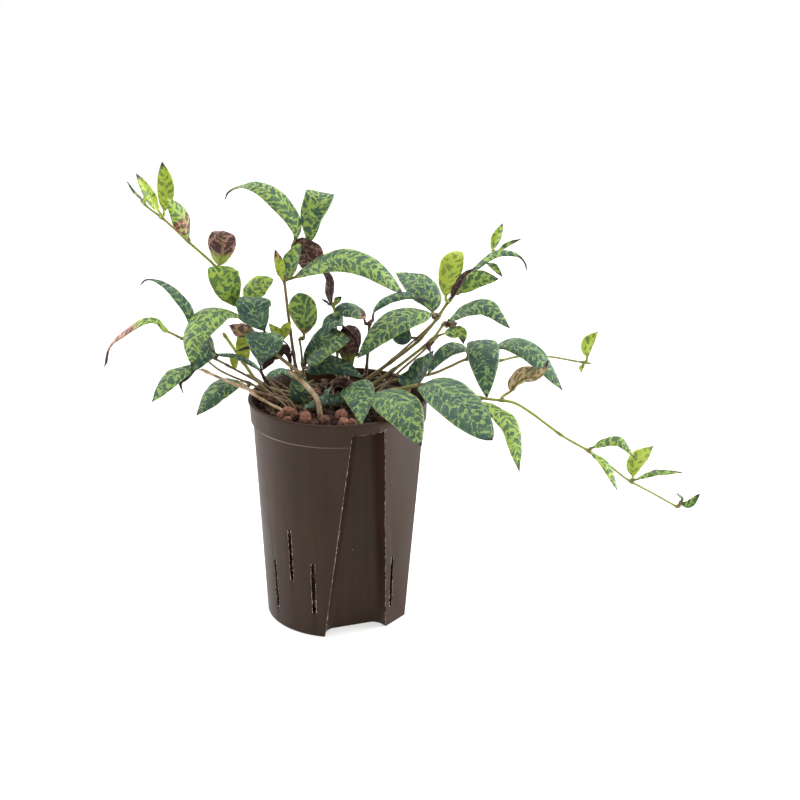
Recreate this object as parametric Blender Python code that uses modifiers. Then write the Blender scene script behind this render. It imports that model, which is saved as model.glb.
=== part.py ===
# Lipstick plant with marbled leaves, growing in a brown plastic water-culture pot.
# The pot stands on z = 0 with its axis on z. Front is -Y, right is +X.

import bpy
import bmesh
import math
from mathutils import Vector

MM = 0.001
GAP = 0.3                    # clearance between pieces that touch, mm
STALK_GAP = 0.6              # from a stem's surface to the end of what grows on it

# Driving dimensions of the pot, in mm
POT_HEIGHT = 190.0
LIP_RADIUS = 75.3
LIP_HEIGHT = 2.6
LIP_BEVEL = 0.7
COLLAR_RADIUS = 72.4
COLLAR_FOOT_RADIUS = 71.8
COLLAR_FOOT = 172.0          # height of the step under the collar
WALL_TOP_RADIUS = 69.9       # just under the collar
BASE_RADIUS = 62.7
WALL = 1.6
FLOOR = 2.2
FOOT_BEVEL = 0.8
CUT_FOOT = -5.0              # cutters start below the base

# The gauge channel is a slanted recess in the wall, drawn in a frame turned to its own side of the pot:
# "out" points away from the pot's axis, "side" runs to the right of it.
CHANNEL_TURN = 19.4          # degrees from the front towards +X
CHANNEL_TOP = 181.0
CHANNEL_REACH = 80.0         # the cutter ends outside the wall
CHANNEL_BACK = (41.0, 51.0)              # distance of its back wall at the base and at the top
CHANNEL_LEFT = ((-25.5, -42.9), (-3.0, -14.6))   # side at the back and at the reach, base then top
CHANNEL_RIGHT = ((17.9, 33.5), (11.4, 21.6))

# Two flats on the right of the channel: direction of the normal from +X, distance at the base and rise
FLAT_CUT_REACH = 110.0
FLAT_CUT_HALF_WIDTH = 70.0
FLATS = (
    dict(name="front_flat", turn=-36.6, base=56.2, slope=0.0528, top=187.1),
    dict(name="right_flat", turn=0.0, base=54.3, slope=0.0913, top=171.0),
)

# Wall slots for water and air
SLOT_WIDTH = 3.6
SLOT_TURNS = (-54.0, -36.0, -18.0)       # degrees from the front, one group of three
SLOT_BOTTOMS = (14.0, 47.0, 21.0)
SLOT_LENGTH = 46.0
SLOT_GROUPS = (0.0, -90.0, 180.0)
SLOT_CUT = (50.0, 80.0)                  # from inside the wall to outside it
FLAT_SLOT_SIDE = -5.5                    # slot on the front flat, from the middle of the flat
FLAT_SLOT_BOTTOM = 17.0
DRAIN_SLOTS = 5
DRAIN_CUT = (18.0, 34.0)                 # drain slots in the floor, from the axis outwards
DRAIN_TURN = 0.75                        # share of a step that the first drain is turned from +X

# Granule fill and the roots in it
FILL_TOP = 178.0
ROOT_TOP_RADIUS = 35.0
ROOT_FOOT_RADIUS = 28.0
ROOT_FOOT = 60.0
ROOT_SHOULDER = 20.0         # straight part of the root ball under its top
ROOT_STEPS = 28

LEAF_THICKNESS = 1.0
LEAF_CUP = 0.22              # lift of a blade's edges, as a share of its half width
TIP_HALF_WIDTH = 0.45
STALK_HALF_WIDTH = 0.9
STALK_START = 2.0            # first stretch of a stalk, square to the stem
BLADE_RISE = 0.75            # powers of the blade's outline towards its base and its tip
BLADE_FALL = 0.95

POT_STEPS = 60
STEM_SPACING = 11.0          # distance between the points of a stem
STEM_RISE = 3.0              # first stretch of a stem, square to what it grows on
STEM_BEVEL_RESOLUTION = 1
CURVE_STEPS = 12             # between two given points of a route
SPINE_SPACING = 0.5          # between the points read along a midrib
LEAF_CELLS = (9, 4)          # along and across


# Stems: radius at the foot and at the tip, what the stem grows on, and its route in mm
STEMS = {
    "old_cut_stem": (2.4, 2.1, None, (
        (-14, -26, 178.3), (-14, -27, 184), (-15, -25, 190), (-17, -22, 195), (-22, -17, 200),
        (-28, -12, 205), (-34, -8, 209), (-40, -4, 212))),
    "left_long_stem": (1.7, 1.0, "old_cut_stem", (
        (-31, -9, 208), (-43, -3, 220), (-54, 1, 228), (-64, 5, 237), (-70, 8, 243), (-76, 10, 255),
        (-83, 12, 266), (-90, 13, 281), (-100, 16, 296), (-120, 22, 313), (-140, 29, 330),
        (-152, 33, 338), (-159, 36, 344))),
    "left_pale_stem": (1.5, 1.3, None, (
        (-27, -8, 178.3), (-33, -6, 182), (-41, -4, 185), (-57, -9, 193), (-72, -15, 200),
        (-91, -25, 212), (-107, -33, 223))),
    "left_olive_stem": (1.8, 1.5, None, (
        (-25, 18, 178.3), (-31, 20, 182), (-45, 22, 185), (-60, 22, 189), (-70, 23, 196),
        (-82, 21, 216), (-95, 18, 238))),
    "left_thin_stem": (1.2, 0.9, None, (
        (-30, 11, 178.3), (-36, 10, 184), (-46, 8, 188), (-60, 7, 195), (-71, 4, 203), (-88, -4, 216),
        (-105, -12, 229), (-116, -17, 239), (-123, -21, 245))),
    "left_low_stem": (1.2, 0.9, None, (
        (-31, 2, 178.3), (-37, 1, 184), (-46, 0, 188), (-58, -1, 193), (-72, -3, 201), (-86, -8, 209),
        (-96, -12, 216), (-104, -17, 225), (-109, -21, 232))),
    "upright_stem": (1.6, 1.2, None, (
        (-31, 15, 178.3), (-34, 13, 199), (-37, 12, 222), (-40, 11, 251), (-42, 10, 275),
        (-43, 10, 289), (-40, 10, 300), (-31, 10, 313))),
    "short_stem": (1.3, 1.0, None, (
        (-24, 22, 178.3), (-28, 20, 192), (-30, 17, 212), (-31, 14, 226), (-32, 12, 235))),
    "centre_stem": (1.6, 1.2, None, (
        (14, 26, 178.3), (18, 25, 190), (22, 22, 201), (24, 20, 222), (25, 18, 240), (26, 17, 248))),
    "right_stem": (2.0, 1.0, None, (
        (4, 4, 178.3), (8, 5, 189), (18, 7, 197), (38, 12, 211), (63, 17, 229), (79, 23, 246),
        (89, 27, 260), (97, 31, 269), (111, 37, 286), (122, 42, 293), (129, 45, 299))),
    "right_low_stem": (1.7, 1.2, None, (
        (14, -4, 178.3), (17, -3, 189), (25, 0, 197), (42, 4, 208), (60, 8, 221), (77, 13, 234),
        (87, 17, 247))),
    "back_tendril": (1.6, 0.9, None, (
        (24, 18, 178.3), (30, 20, 188), (49, 22, 196), (76, 27, 199), (92, 32, 204), (106, 36, 209),
        (120, 40, 207), (134, 45, 205), (150, 50, 207), (166, 55, 206), (182, 61, 203), (200, 63, 199),
        (215, 65, 196))),
    "front_tendril": (1.6, 0.9, None, (
        (20, -12, 178.3), (26, -13, 189), (38, -18, 199), (55, -25, 205), (68, -33, 210), (90, -45, 211),
        (114, -58, 208), (137, -68, 208), (150, -75, 203), (164, -81, 194), (177, -87, 186),
        (195, -89, 176), (208, -89, 167), (220, -89, 157), (228, -89, 151), (248, -87, 139),
        (268, -86, 127))),
}

PALE_STEMS = ("old_cut_stem", "left_pale_stem")
YOUNG_LEAF_WORDS = ("bright", "tip", "yellow", "tendril")

# Leaves: stem, width, stalk length, where the upper face looks, and the midrib's route in mm from the stem
# to the tip. The first point only says where on the stem the leaf sits.
LEAVES = {
    "left_tip_leaf_small": ("left_long_stem", 6, 3, (5, -6, 6), (
        (-159, 36, 344), (-165, 41, 350), (-171, 45, 358))),
    "left_tip_leaf_left": ("left_long_stem", 10, 7, (9, -7, 2), (
        (-143, 29, 332), (-148, 23, 347), (-159, 21, 369))),
    "left_tip_leaf_right": ("left_long_stem", 13, 5, (2, -9, 3), (
        (-143, 29, 332), (-139, 38, 353), (-142, 45, 374))),
    "left_bulging_leaf": ("left_long_stem", 17, 4, (6, -7, 5), (
        (-121, 22, 314), (-123, 14, 334), (-134, 9, 352))),
    "left_cupped_leaf": ("left_long_stem", 26, 4, (0, 8, 5), (
        (-97, 15, 294), (-92, 5, 311), (-92, 10, 326))),
    "left_bright_leaf": ("left_long_stem", 26, 5, (1, -8, 5), (
        (-84, 12, 266), (-92, 2, 283), (-90, 0, 301))),
    "left_bright_leaf_small": ("left_long_stem", 19, 6, (-3, -8, 6), (
        (-81, 12, 264), (-67, 19, 279), (-54, 24, 286))),
    "left_teal_leaf": ("left_long_stem", 30, 10, (0, -8, 5), (
        (-62, 5, 234), (-59, 1, 246), (-62, -1, 258), (-75, 1, 269))),
    "left_arching_leaf": ("left_long_stem", 29, 5, (-4, -7, 7), (
        (-74, 10, 251), (-86, -3, 259), (-99, -20, 261), (-111, -40, 249), (-112, -52, 231))),
    "left_thin_arching_leaf": ("left_thin_stem", 9, 8, (2, -5, 9), (
        (-118, -18, 240), (-117, -14, 265), (-127, -6, 278), (-144, 3, 286), (-160, 10, 281))),
    "left_far_leaf": ("left_thin_stem", 10, 16, (0, -3, 9), (
        (-123, -21, 245), (-137, -22, 257), (-150, -20, 260), (-173, -15, 247), (-190, -11, 218))),
    "left_low_leaf": ("left_low_stem", 15, 10, (-3, -7, 7), (
        (-108, -20, 230), (-118, -29, 224), (-129, -43, 221), (-144, -56, 204))),
    "left_rim_leaf": ("left_low_stem", 20, 6, (-3, -7, 8), (
        (-72, -2, 202), (-83, -4, 202), (-97, -12, 200), (-114, -24, 181))),
    "left_folded_leaf": ("left_thin_stem", 30, 14, (1, -8, 5), (
        (-60, 7, 194), (-63, -1, 217), (-61, -12, 233), (-53, -8, 243))),
    "upright_long_leaf": ("upright_stem", 21, 8, (1, -6, 8), (
        (-40, 10, 300), (-21, -6, 304), (3, -14, 309), (35, -18, 302), (52, -18, 282))),
    "upright_maroon_leaf": ("upright_stem", 25, 4, (1, 8, 2), (
        (-31, 10, 312), (-24, 18, 306), (-13, 26, 292))),
    "upright_arching_leaf": ("upright_stem", 16, 8, (2, -5, 8), (
        (-33, 10, 310), (-34, 10, 332), (-45, 18, 352), (-64, 29, 354), (-92, 42, 347))),
    "upright_top_leaf": ("upright_stem", 25, 8, (-1, -9, 3), (
        (-31, 10, 312), (-22, 19, 322), (-18, 24, 339), (-14, 37, 349), (-14, 54, 343))),
    "centre_bright_leaf": ("short_stem", 22, 6, (0, -9, 3), (
        (-32, 12, 235), (-27, 8, 254), (-32, 10, 274))),
    "centre_wide_leaf": ("short_stem", 28, 8, (-3, -7, 8), (
        (-30, 16, 212), (-21, 2, 227), (-8, -5, 237), (10, -7, 236))),
    "centre_dark_leaf": ("centre_stem", 16, 8, (3, -8, 3), (
        (24, 20, 221), (11, 14, 224), (4, 10, 238), (11, 8, 248))),
    "centre_light_leaf": ("centre_stem", 14, 6, (1, -7, 7), (
        (25, 17, 246), (16, 12, 257), (-1, 8, 254))),
    "centre_thin_leaf": ("centre_stem", 9, 8, (0, -5, 9), (
        (26, 17, 248), (36, 18, 264), (55, 20, 270), (76, 25, 262))),
    "right_long_leaf": ("right_stem", 26, 8, (-3, -6, 8), (
        (83, 25, 250), (60, 6, 258), (38, -4, 250), (16, -10, 225))),
    "right_teal_leaf": ("right_stem", 27, 6, (3, -7, 7), (
        (81, 23, 248), (76, 31, 263), (65, 42, 275), (47, 56, 279))),
    "right_yellow_leaf": ("right_stem", 20, 4, (-3, -9, 3), (
        (91, 27, 262), (88, 24, 281), (95, 25, 301))),
    "right_green_leaf": ("right_stem", 13, 4, (0, -8, 5), (
        (97, 31, 269), (112, 27, 281), (131, 24, 282))),
    "right_tip_leaf": ("right_stem", 8, 2, (-6, -8, 2), (
        (129, 45, 299), (130, 47, 311), (135, 51, 322))),
    "right_tip_leaf_long": ("right_stem", 8, 6, (0, -5, 9), (
        (111, 37, 286), (121, 29, 298), (138, 22, 307), (153, 17, 291))),
    "right_arching_leaf": ("right_low_stem", 17, 5, (2, -6, 8), (
        (87, 17, 247), (101, 5, 262), (119, -6, 268), (138, -19, 253))),
    "right_folded_leaf": ("right_low_stem", 17, 6, (-6, -6, 4), (
        (42, 5, 210), (60, -4, 205), (71, -14, 221), (77, -18, 234))),
    "right_hanging_leaf": ("back_tendril", 26, 10, (0, -8, 4), (
        (118, 40, 207), (116, 36, 222), (118, 20, 231), (119, -2, 221), (121, -14, 192))),
    "right_far_leaf": ("back_tendril", 20, 8, (3, -6, 8), (
        (124, 42, 207), (130, 35, 221), (143, 22, 229), (161, 8, 223), (183, -8, 197))),
    "front_large_leaf": ("front_tendril", 31, 4, (3, -8, 6), (
        (68, -33, 210), (79, -52, 215), (100, -75, 206), (122, -94, 188))),
    "front_rim_leaf_left": ("right_stem", 20, 16, (1, -8, 5), (
        (5, 4, 184), (5, -14, 196), (9, -31, 202), (15, -43, 196), (20, -52, 183))),
    "front_rim_leaf_right": ("right_low_stem", 33, 22, (3, -8, 6), (
        (20, -1, 193), (30, -22, 200), (40, -40, 205), (53, -61, 200), (67, -78, 180))),
    "tendril_brown_leaf": ("front_tendril", 21, 8, (-1, 7, 5), (
        (128, -64, 208), (138, -54, 213), (148, -50, 218), (165, -43, 224))),
    "tendril_bright_leaf": ("front_tendril", 15, 5, (5, -8, 4), (
        (114, -58, 208), (123, -71, 204), (137, -86, 193), (142, -88, 158))),
    "tendril_upper_leaf": ("front_tendril", 9, 3, (1, -5, 8), (
        (196, -89, 176), (205, -95, 185), (217, -99, 188), (229, -103, 176))),
    "tendril_lower_leaf": ("front_tendril", 9, 3, (6, -7, 3), (
        (197, -89, 176), (207, -106, 172), (215, -118, 155))),
    "tendril_end_leaf_upper": ("front_tendril", 13, 3, (-6, -8, 3), (
        (230, -89, 150), (234, -80, 163), (248, -72, 173))),
    "tendril_end_leaf_right": ("front_tendril", 8, 4, (0, -4, 9), (
        (230, -89, 150), (244, -103, 164), (264, -114, 168))),
    "tendril_tip_leaf": ("front_tendril", 6, 2, (2, -6, 7), (
        (268, -86, 127), (277, -86, 130), (284, -87, 139))),
    "back_tendril_leaf": ("back_tendril", 9, 4, (-5, -8, 2), (
        (210, 65, 197), (210, 61, 214), (218, 57, 227))),
}


def clear_scene():
    for obj in list(bpy.data.objects):
        bpy.data.objects.remove(obj, do_unlink=True)


def make_collection(name):
    collection = bpy.data.collections.new(name)
    bpy.context.scene.collection.children.link(collection)
    return collection


def add_object(name, data, collection):
    obj = bpy.data.objects.new(name, data)
    collection.objects.link(obj)
    return obj


def make_material(name, colour, roughness):
    material = bpy.data.materials.new(name)
    material.use_nodes = True
    shader = material.node_tree.nodes["Principled BSDF"]
    shader.inputs["Base Color"].default_value = (*colour, 1.0)
    shader.inputs["Roughness"].default_value = roughness
    shader.inputs["Metallic"].default_value = 0.0
    return material


def as_cutter(obj):
    obj.hide_render = True
    obj.display_type = "WIRE"
    return obj


def turned(name, profile, collection, steps=POT_STEPS):
    """A solid of revolution; the profile runs down its outer side, from the axis to the axis."""
    mesh = bpy.data.meshes.new(name)
    bm = bmesh.new()
    verts = [bm.verts.new((r * MM, 0.0, z * MM)) for r, z in profile]
    for a, b in zip(verts, verts[1:]):
        bm.edges.new((a, b))
    bm.to_mesh(mesh)
    bm.free()
    obj = add_object(name, mesh, collection)
    screw = obj.modifiers.new("turn", "SCREW")
    screw.axis = "Z"
    screw.steps = steps
    screw.render_steps = steps
    screw.use_merge_vertices = True
    screw.merge_threshold = 0.00001
    screw.use_smooth_shade = True
    return obj


def block(name, low_corners, high_corners, collection):
    """A box whose four low and four high corners are moved to the given places."""
    mesh = bpy.data.meshes.new(name)
    bm = bmesh.new()
    bmesh.ops.create_cube(bm, size=2.0)
    for vert in bm.verts:
        corners = high_corners if vert.co.z > 0 else low_corners
        index = {(-1, -1): 0, (1, -1): 1, (1, 1): 2, (-1, 1): 3}[(round(vert.co.x), round(vert.co.y))]
        vert.co = Vector(corners[index]) * MM
    bm.to_mesh(mesh)
    bm.free()
    return as_cutter(add_object(name, mesh, collection))


def boolean(obj, cutter, operation="DIFFERENCE"):
    modifier = obj.modifiers.new(cutter.name, "BOOLEAN")
    modifier.operation = operation
    modifier.solver = "EXACT"
    modifier.object = cutter


def channel_cutter(name, grow, collection):
    """The gauge channel, widened all round by grow for the inner face of its wall."""
    turn = math.radians(CHANNEL_TURN)
    out = Vector((math.sin(turn), -math.cos(turn), 0))
    side = Vector((math.cos(turn), math.sin(turn), 0))
    layers = []
    for z in (CUT_FOOT, CHANNEL_TOP + grow):
        part = z / CHANNEL_TOP
        back = CHANNEL_BACK[0] + (CHANNEL_BACK[1] - CHANNEL_BACK[0]) * part - grow
        left = [a + (b - a) * part for a, b in zip(*CHANNEL_LEFT)]
        right = [a + (b - a) * part for a, b in zip(*CHANNEL_RIGHT)]
        flat = (
            (back, left[0] - grow), (back, right[0] + grow),
            (CHANNEL_REACH, right[1] + grow), (CHANNEL_REACH, left[1] - grow),
        )
        layers.append([out * n + side * t + Vector((0, 0, z)) for n, t in flat])
    # seen from above the corners run anticlockwise, as the cube's own do
    layers = [[corners[0], corners[3], corners[2], corners[1]] for corners in layers]
    return block(name, layers[0], layers[1], collection)


def flat_cutter(name, flat, inset, collection):
    """The half space outside one of the flats, moved in by inset."""
    turn = math.radians(flat["turn"])
    normal = Vector((math.cos(turn), math.sin(turn), 0))
    side = Vector((-math.sin(turn), math.cos(turn), 0))
    reach, half = FLAT_CUT_REACH, FLAT_CUT_HALF_WIDTH
    layers = []
    for z in (CUT_FOOT, flat["top"] + inset * 0.5):
        near = flat["base"] + flat["slope"] * z - inset
        flat_corners = ((near, -half), (reach, -half), (reach, half), (near, half))
        layers.append([normal * n + side * t + Vector((0, 0, z)) for n, t in flat_corners])
    return block(name, layers[0], layers[1], collection)


def inner_profile(clearance, top, top_radius, floor):
    """The pot's inner face, from the axis at the top to the axis at the floor."""
    inset = WALL + clearance
    return (
        (0.0, top),
        (top_radius - inset, top),
        (COLLAR_FOOT_RADIUS - inset, COLLAR_FOOT + inset),
        (WALL_TOP_RADIUS - inset, COLLAR_FOOT - inset),
        (BASE_RADIUS - inset, floor),
        (0.0, floor),
    )


def cut_like_the_wall(obj, tag, inset, cutters):
    """Gives a solid that fills the pot the channel and the flats of the wall around it."""
    boolean(obj, channel_cutter(tag + "_channel", inset, cutters))
    for flat in FLATS:
        boolean(obj, flat_cutter(tag + "_" + flat["name"], flat, inset, cutters))


def make_pot(parts, cutters):
    lip_foot = POT_HEIGHT - LIP_HEIGHT
    profile = (
        (0.0, POT_HEIGHT),
        (LIP_RADIUS - LIP_BEVEL, POT_HEIGHT),
        (LIP_RADIUS, POT_HEIGHT - LIP_BEVEL),
        (LIP_RADIUS, lip_foot + 0.4),
        (COLLAR_RADIUS, lip_foot),
        (COLLAR_FOOT_RADIUS, COLLAR_FOOT),
        (WALL_TOP_RADIUS, COLLAR_FOOT - 1.2),
        (BASE_RADIUS, FOOT_BEVEL),
        (BASE_RADIUS - FOOT_BEVEL, 0.0),
        (0.0, 0.0),
    )
    pot = turned("grow_pot", profile, parts)
    cut_like_the_wall(pot, "outer", 0.0, cutters)

    for group in SLOT_GROUPS:
        for turn, bottom in zip(SLOT_TURNS, SLOT_BOTTOMS):
            heights = (bottom, bottom + SLOT_LENGTH)
            boolean(pot, slot_cutter("wall_slot", turn + group - 90, 0.0, SLOT_CUT, heights, cutters))
    heights = (FLAT_SLOT_BOTTOM, FLAT_SLOT_BOTTOM + SLOT_LENGTH)
    boolean(pot, slot_cutter("flat_slot", FLATS[0]["turn"], FLAT_SLOT_SIDE, SLOT_CUT, heights, cutters))
    for i in range(DRAIN_SLOTS):
        turn = 360 * (i + DRAIN_TURN) / DRAIN_SLOTS
        heights = (CUT_FOOT, FLOOR - CUT_FOOT)
        boolean(pot, slot_cutter("drain_slot", turn, 0.0, DRAIN_CUT, heights, cutters))

    cavity_profile = inner_profile(0.0, POT_HEIGHT + 10.0, COLLAR_RADIUS, FLOOR)
    cavity = as_cutter(turned("cavity", cavity_profile, cutters))
    cut_like_the_wall(cavity, "inner", WALL, cutters)
    boolean(pot, cavity)
    return pot


def slot_cutter(name, turn, offset, reach, heights, collection):
    """An upright block as wide as a slot, pointing away from the axis at an angle from +X."""
    out = Vector((math.cos(math.radians(turn)), math.sin(math.radians(turn)), 0))
    side = Vector((-out.y, out.x, 0))
    near, far = reach
    left, right = offset - SLOT_WIDTH / 2, offset + SLOT_WIDTH / 2
    corners = ((near, left), (far, left), (far, right), (near, right))
    low, high = heights
    low_corners = [out * n + side * t + Vector((0, 0, low)) for n, t in corners]
    high_corners = [out * n + side * t + Vector((0, 0, high)) for n, t in corners]
    return block(name, low_corners, high_corners, collection)


def make_granules(parts, cutters):
    fill_profile = inner_profile(GAP, FILL_TOP, COLLAR_FOOT_RADIUS, FLOOR + GAP)
    fill = turned("clay_granules", fill_profile, parts)
    cut_like_the_wall(fill, "fill", WALL + GAP, cutters)
    hole_profile = (
        (0.0, FILL_TOP + 5.0),
        (ROOT_TOP_RADIUS + GAP, FILL_TOP + 5.0),
        (ROOT_TOP_RADIUS + GAP, FILL_TOP - ROOT_SHOULDER),
        (ROOT_FOOT_RADIUS + GAP, ROOT_FOOT - GAP),
        (0.0, ROOT_FOOT - GAP),
    )
    boolean(fill, as_cutter(turned("root_hole", hole_profile, cutters)))
    return fill


def make_root_ball(parts):
    profile = (
        (0.0, FILL_TOP),
        (ROOT_TOP_RADIUS - 2.0, FILL_TOP),
        (ROOT_TOP_RADIUS, FILL_TOP - 2.0),
        (ROOT_TOP_RADIUS, FILL_TOP - ROOT_SHOULDER),
        (ROOT_FOOT_RADIUS, ROOT_FOOT + 3.0),
        (ROOT_FOOT_RADIUS - 3.0, ROOT_FOOT),
        (0.0, ROOT_FOOT),
    )
    return turned("root_ball", profile, parts, ROOT_STEPS)


def smooth_route(points, spacing):
    """Points at an even spacing along a smooth curve through the given ones."""
    ends = [points[0] * 2 - points[1], *points, points[-1] * 2 - points[-2]]
    dense = []
    for a, b, c, d in zip(ends, ends[1:], ends[2:], ends[3:]):
        for step in range(CURVE_STEPS):
            t = step / CURVE_STEPS
            bend = (2 * a - 5 * b + 4 * c - d) * t ** 2 + (3 * b - a - 3 * c + d) * t ** 3
            dense.append(0.5 * (2 * b + (c - a) * t + bend))
    dense.append(points[-1])
    lengths = [0.0]
    for a, b in zip(dense, dense[1:]):
        lengths.append(lengths[-1] + (b - a).length)
    count = max(2, round(lengths[-1] / spacing))
    route, j = [], 0
    for i in range(count + 1):
        target = lengths[-1] * i / count
        while j < len(lengths) - 2 and lengths[j + 1] < target:
            j += 1
        share = (target - lengths[j]) / max(lengths[j + 1] - lengths[j], 1e-9)
        route.append(dense[j].lerp(dense[j + 1], min(max(share, 0.0), 1.0)))
    return route


def seat_on(stem, near, toward):
    """The place just clear of a stem's surface from where something grows towards a point."""
    route, radius = stem
    best = None
    for i, (a, b) in enumerate(zip(route, route[1:])):
        along = b - a
        share = min(max((near - a).dot(along) / along.length_squared, 0.0), 1.0)
        foot = a + along * share
        distance = (near - foot).length
        if best is None or distance < best[0]:
            best = (distance, foot, along.normalized(), (i + share) / (len(route) - 1))
    _, foot, tangent, share = best
    away = toward - foot
    away -= tangent * away.dot(tangent)
    away.normalize()
    reach = radius[0] + (radius[1] - radius[0]) * share + STALK_GAP
    return foot + away * reach, away


def make_stem(name, foot_radius, tip_radius, route, parts):
    curve = bpy.data.curves.new(name, "CURVE")
    curve.dimensions = "3D"
    curve.bevel_depth = foot_radius * MM
    curve.bevel_resolution = STEM_BEVEL_RESOLUTION
    curve.use_fill_caps = True
    spline = curve.splines.new("POLY")
    spline.points.add(len(route) - 1)
    for i, (point, place) in enumerate(zip(spline.points, route)):
        point.co = (*(place * MM), 1.0)
        point.radius = 1 + (tip_radius / foot_radius - 1) * i / (len(route) - 1)
    return add_object(name, curve, parts)


def blade_half_width(share):
    """Outline of a blade: rounded at the stalk, widest before the middle, drawn out at the tip."""
    peak = BLADE_RISE / (BLADE_RISE + BLADE_FALL)
    highest = peak ** BLADE_RISE * (1 - peak) ** BLADE_FALL
    return share ** BLADE_RISE * (1 - share) ** BLADE_FALL / highest


def make_leaf(name, width, stalk, face, route, parts):
    """A grid laid along the midrib, narrow on the stalk, then as wide as the blade, with a shallow fold."""
    along, across = LEAF_CELLS
    spine = smooth_route(route, SPINE_SPACING)
    last = len(spine) - 1
    stalk_share = min(stalk / (SPINE_SPACING * last), 0.4)
    rows = [0.0]
    for i in range(along):
        rows.append(stalk_share + (1 - stalk_share) * (i / (along - 1)) ** 1.05)
    places = [spine[round(row * last)] for row in rows]
    tangents = []
    for row in rows:
        k = round(row * last)
        tangents.append((spine[min(k + 4, last)] - spine[max(k - 4, 0)]).normalized())
    # the upper face keeps its direction from row to row, started at the middle of the blade
    normals = [None] * len(rows)
    middle = len(rows) // 2
    normals[middle] = (face - tangents[middle] * face.dot(tangents[middle])).normalized()
    for order in (range(middle + 1, len(rows)), range(middle - 1, -1, -1)):
        for i in order:
            normal = normals[i - 1] if i > middle else normals[i + 1]
            normals[i] = (normal - tangents[i] * normal.dot(tangents[i])).normalized()

    mesh = bpy.data.meshes.new(name)
    bm = bmesh.new()
    bmesh.ops.create_grid(bm, x_segments=along, y_segments=across, size=1.0)
    for vert in bm.verts:
        i = round((vert.co.x + 1) / 2 * along)
        v = vert.co.y
        share = (rows[i] - stalk_share) / (1 - stalk_share)
        half = STALK_HALF_WIDTH
        if share > 0:
            half = max(width / 2 * blade_half_width(min(share, 1.0)), TIP_HALF_WIDTH)
        side = normals[i].cross(tangents[i])
        lift = LEAF_CUP * v * v * (half - TIP_HALF_WIDTH)
        vert.co = (places[i] + side * (v * half) + normals[i] * lift) * MM
    bm.normal_update()
    bm.to_mesh(mesh)
    bm.free()
    leaf = add_object(name, mesh, parts)
    solid = leaf.modifiers.new("thickness", "SOLIDIFY")
    solid.thickness = LEAF_THICKNESS * MM
    solid.offset = 0.0
    mesh.shade_smooth()
    return leaf


def main():
    clear_scene()
    parts = make_collection("potted_lipstick_plant")
    cutters = make_collection("cutters")
    brown_plastic = make_material("brown plastic", (0.045, 0.030, 0.023), 0.45)
    clay = make_material("fired clay granules", (0.27, 0.11, 0.075), 0.9)
    roots = make_material("roots", (0.25, 0.17, 0.10), 0.9)
    olive_stem = make_material("olive stem", (0.14, 0.12, 0.04), 0.6)
    old_bark = make_material("old pale stem", (0.48, 0.36, 0.22), 0.8)
    green_leaf = make_material("marbled green leaf", (0.07, 0.15, 0.07), 0.4)
    young_leaf = make_material("young yellow-green leaf", (0.26, 0.40, 0.05), 0.4)

    make_pot(parts, cutters).data.materials.append(brown_plastic)
    make_granules(parts, cutters).data.materials.append(clay)
    make_root_ball(parts).data.materials.append(roots)

    stems = {}
    for name, (foot_radius, tip_radius, parent, points) in STEMS.items():
        points = [Vector(p) for p in points]
        if parent:
            foot, away = seat_on(stems[parent], points[0], points[1])
        else:
            foot, away = points[0], Vector((0, 0, 1))
        points[0] = foot + away * STEM_RISE
        route = [foot, *smooth_route(points, STEM_SPACING)]
        stems[name] = (route, (foot_radius, tip_radius))
        stem = make_stem(name, foot_radius, tip_radius, route, parts)
        stem.data.materials.append(old_bark if name in PALE_STEMS else olive_stem)

    for name, (stem, width, stalk, face, points) in LEAVES.items():
        points = [Vector(p) for p in points]
        seat, away = seat_on(stems[stem], points[0], points[1])
        route = [seat, seat + away * STALK_START, *points[1:]]
        leaf = make_leaf(name, width, stalk, Vector(face), route, parts)
        young = any(word in name for word in YOUNG_LEAF_WORDS)
        leaf.data.materials.append(young_leaf if young else green_leaf)


main()
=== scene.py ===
# Looks of a potted lipstick plant: the pot, the granules, the stems and the marbled leaves, around the fixed
# solids of the frame. Sizes are in millimetres where a name or comment does not say otherwise.
import bpy
import bmesh
import math
import random
from mathutils import Vector, Matrix, noise


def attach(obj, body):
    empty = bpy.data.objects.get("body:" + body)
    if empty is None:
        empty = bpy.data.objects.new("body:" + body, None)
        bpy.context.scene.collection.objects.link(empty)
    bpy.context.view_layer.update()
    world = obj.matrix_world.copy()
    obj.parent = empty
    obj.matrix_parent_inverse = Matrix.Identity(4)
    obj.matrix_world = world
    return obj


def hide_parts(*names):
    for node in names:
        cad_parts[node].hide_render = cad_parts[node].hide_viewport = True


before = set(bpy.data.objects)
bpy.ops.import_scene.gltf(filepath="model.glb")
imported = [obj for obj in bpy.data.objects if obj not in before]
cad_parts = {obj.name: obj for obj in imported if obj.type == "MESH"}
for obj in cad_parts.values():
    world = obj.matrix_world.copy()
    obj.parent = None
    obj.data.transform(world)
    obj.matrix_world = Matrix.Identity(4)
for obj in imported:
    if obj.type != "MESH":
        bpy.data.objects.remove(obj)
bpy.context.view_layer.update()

# The camera stands 1.2 m in front of the pot and looks down on it by 19 degrees, level from side to side.
bpy.ops.object.select_all(action="DESELECT")
bpy.ops.object.camera_add(location=(0.0505, -1.2, 0.609), rotation=(math.radians(90 - 19.43), 0, 0))
camera = bpy.context.object
camera.name = "front_camera"
camera.data.sensor_width = 36
camera.data.lens = 69.66
bpy.context.scene.camera = camera
bpy.context.scene.view_settings.view_transform = "Standard"


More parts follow.
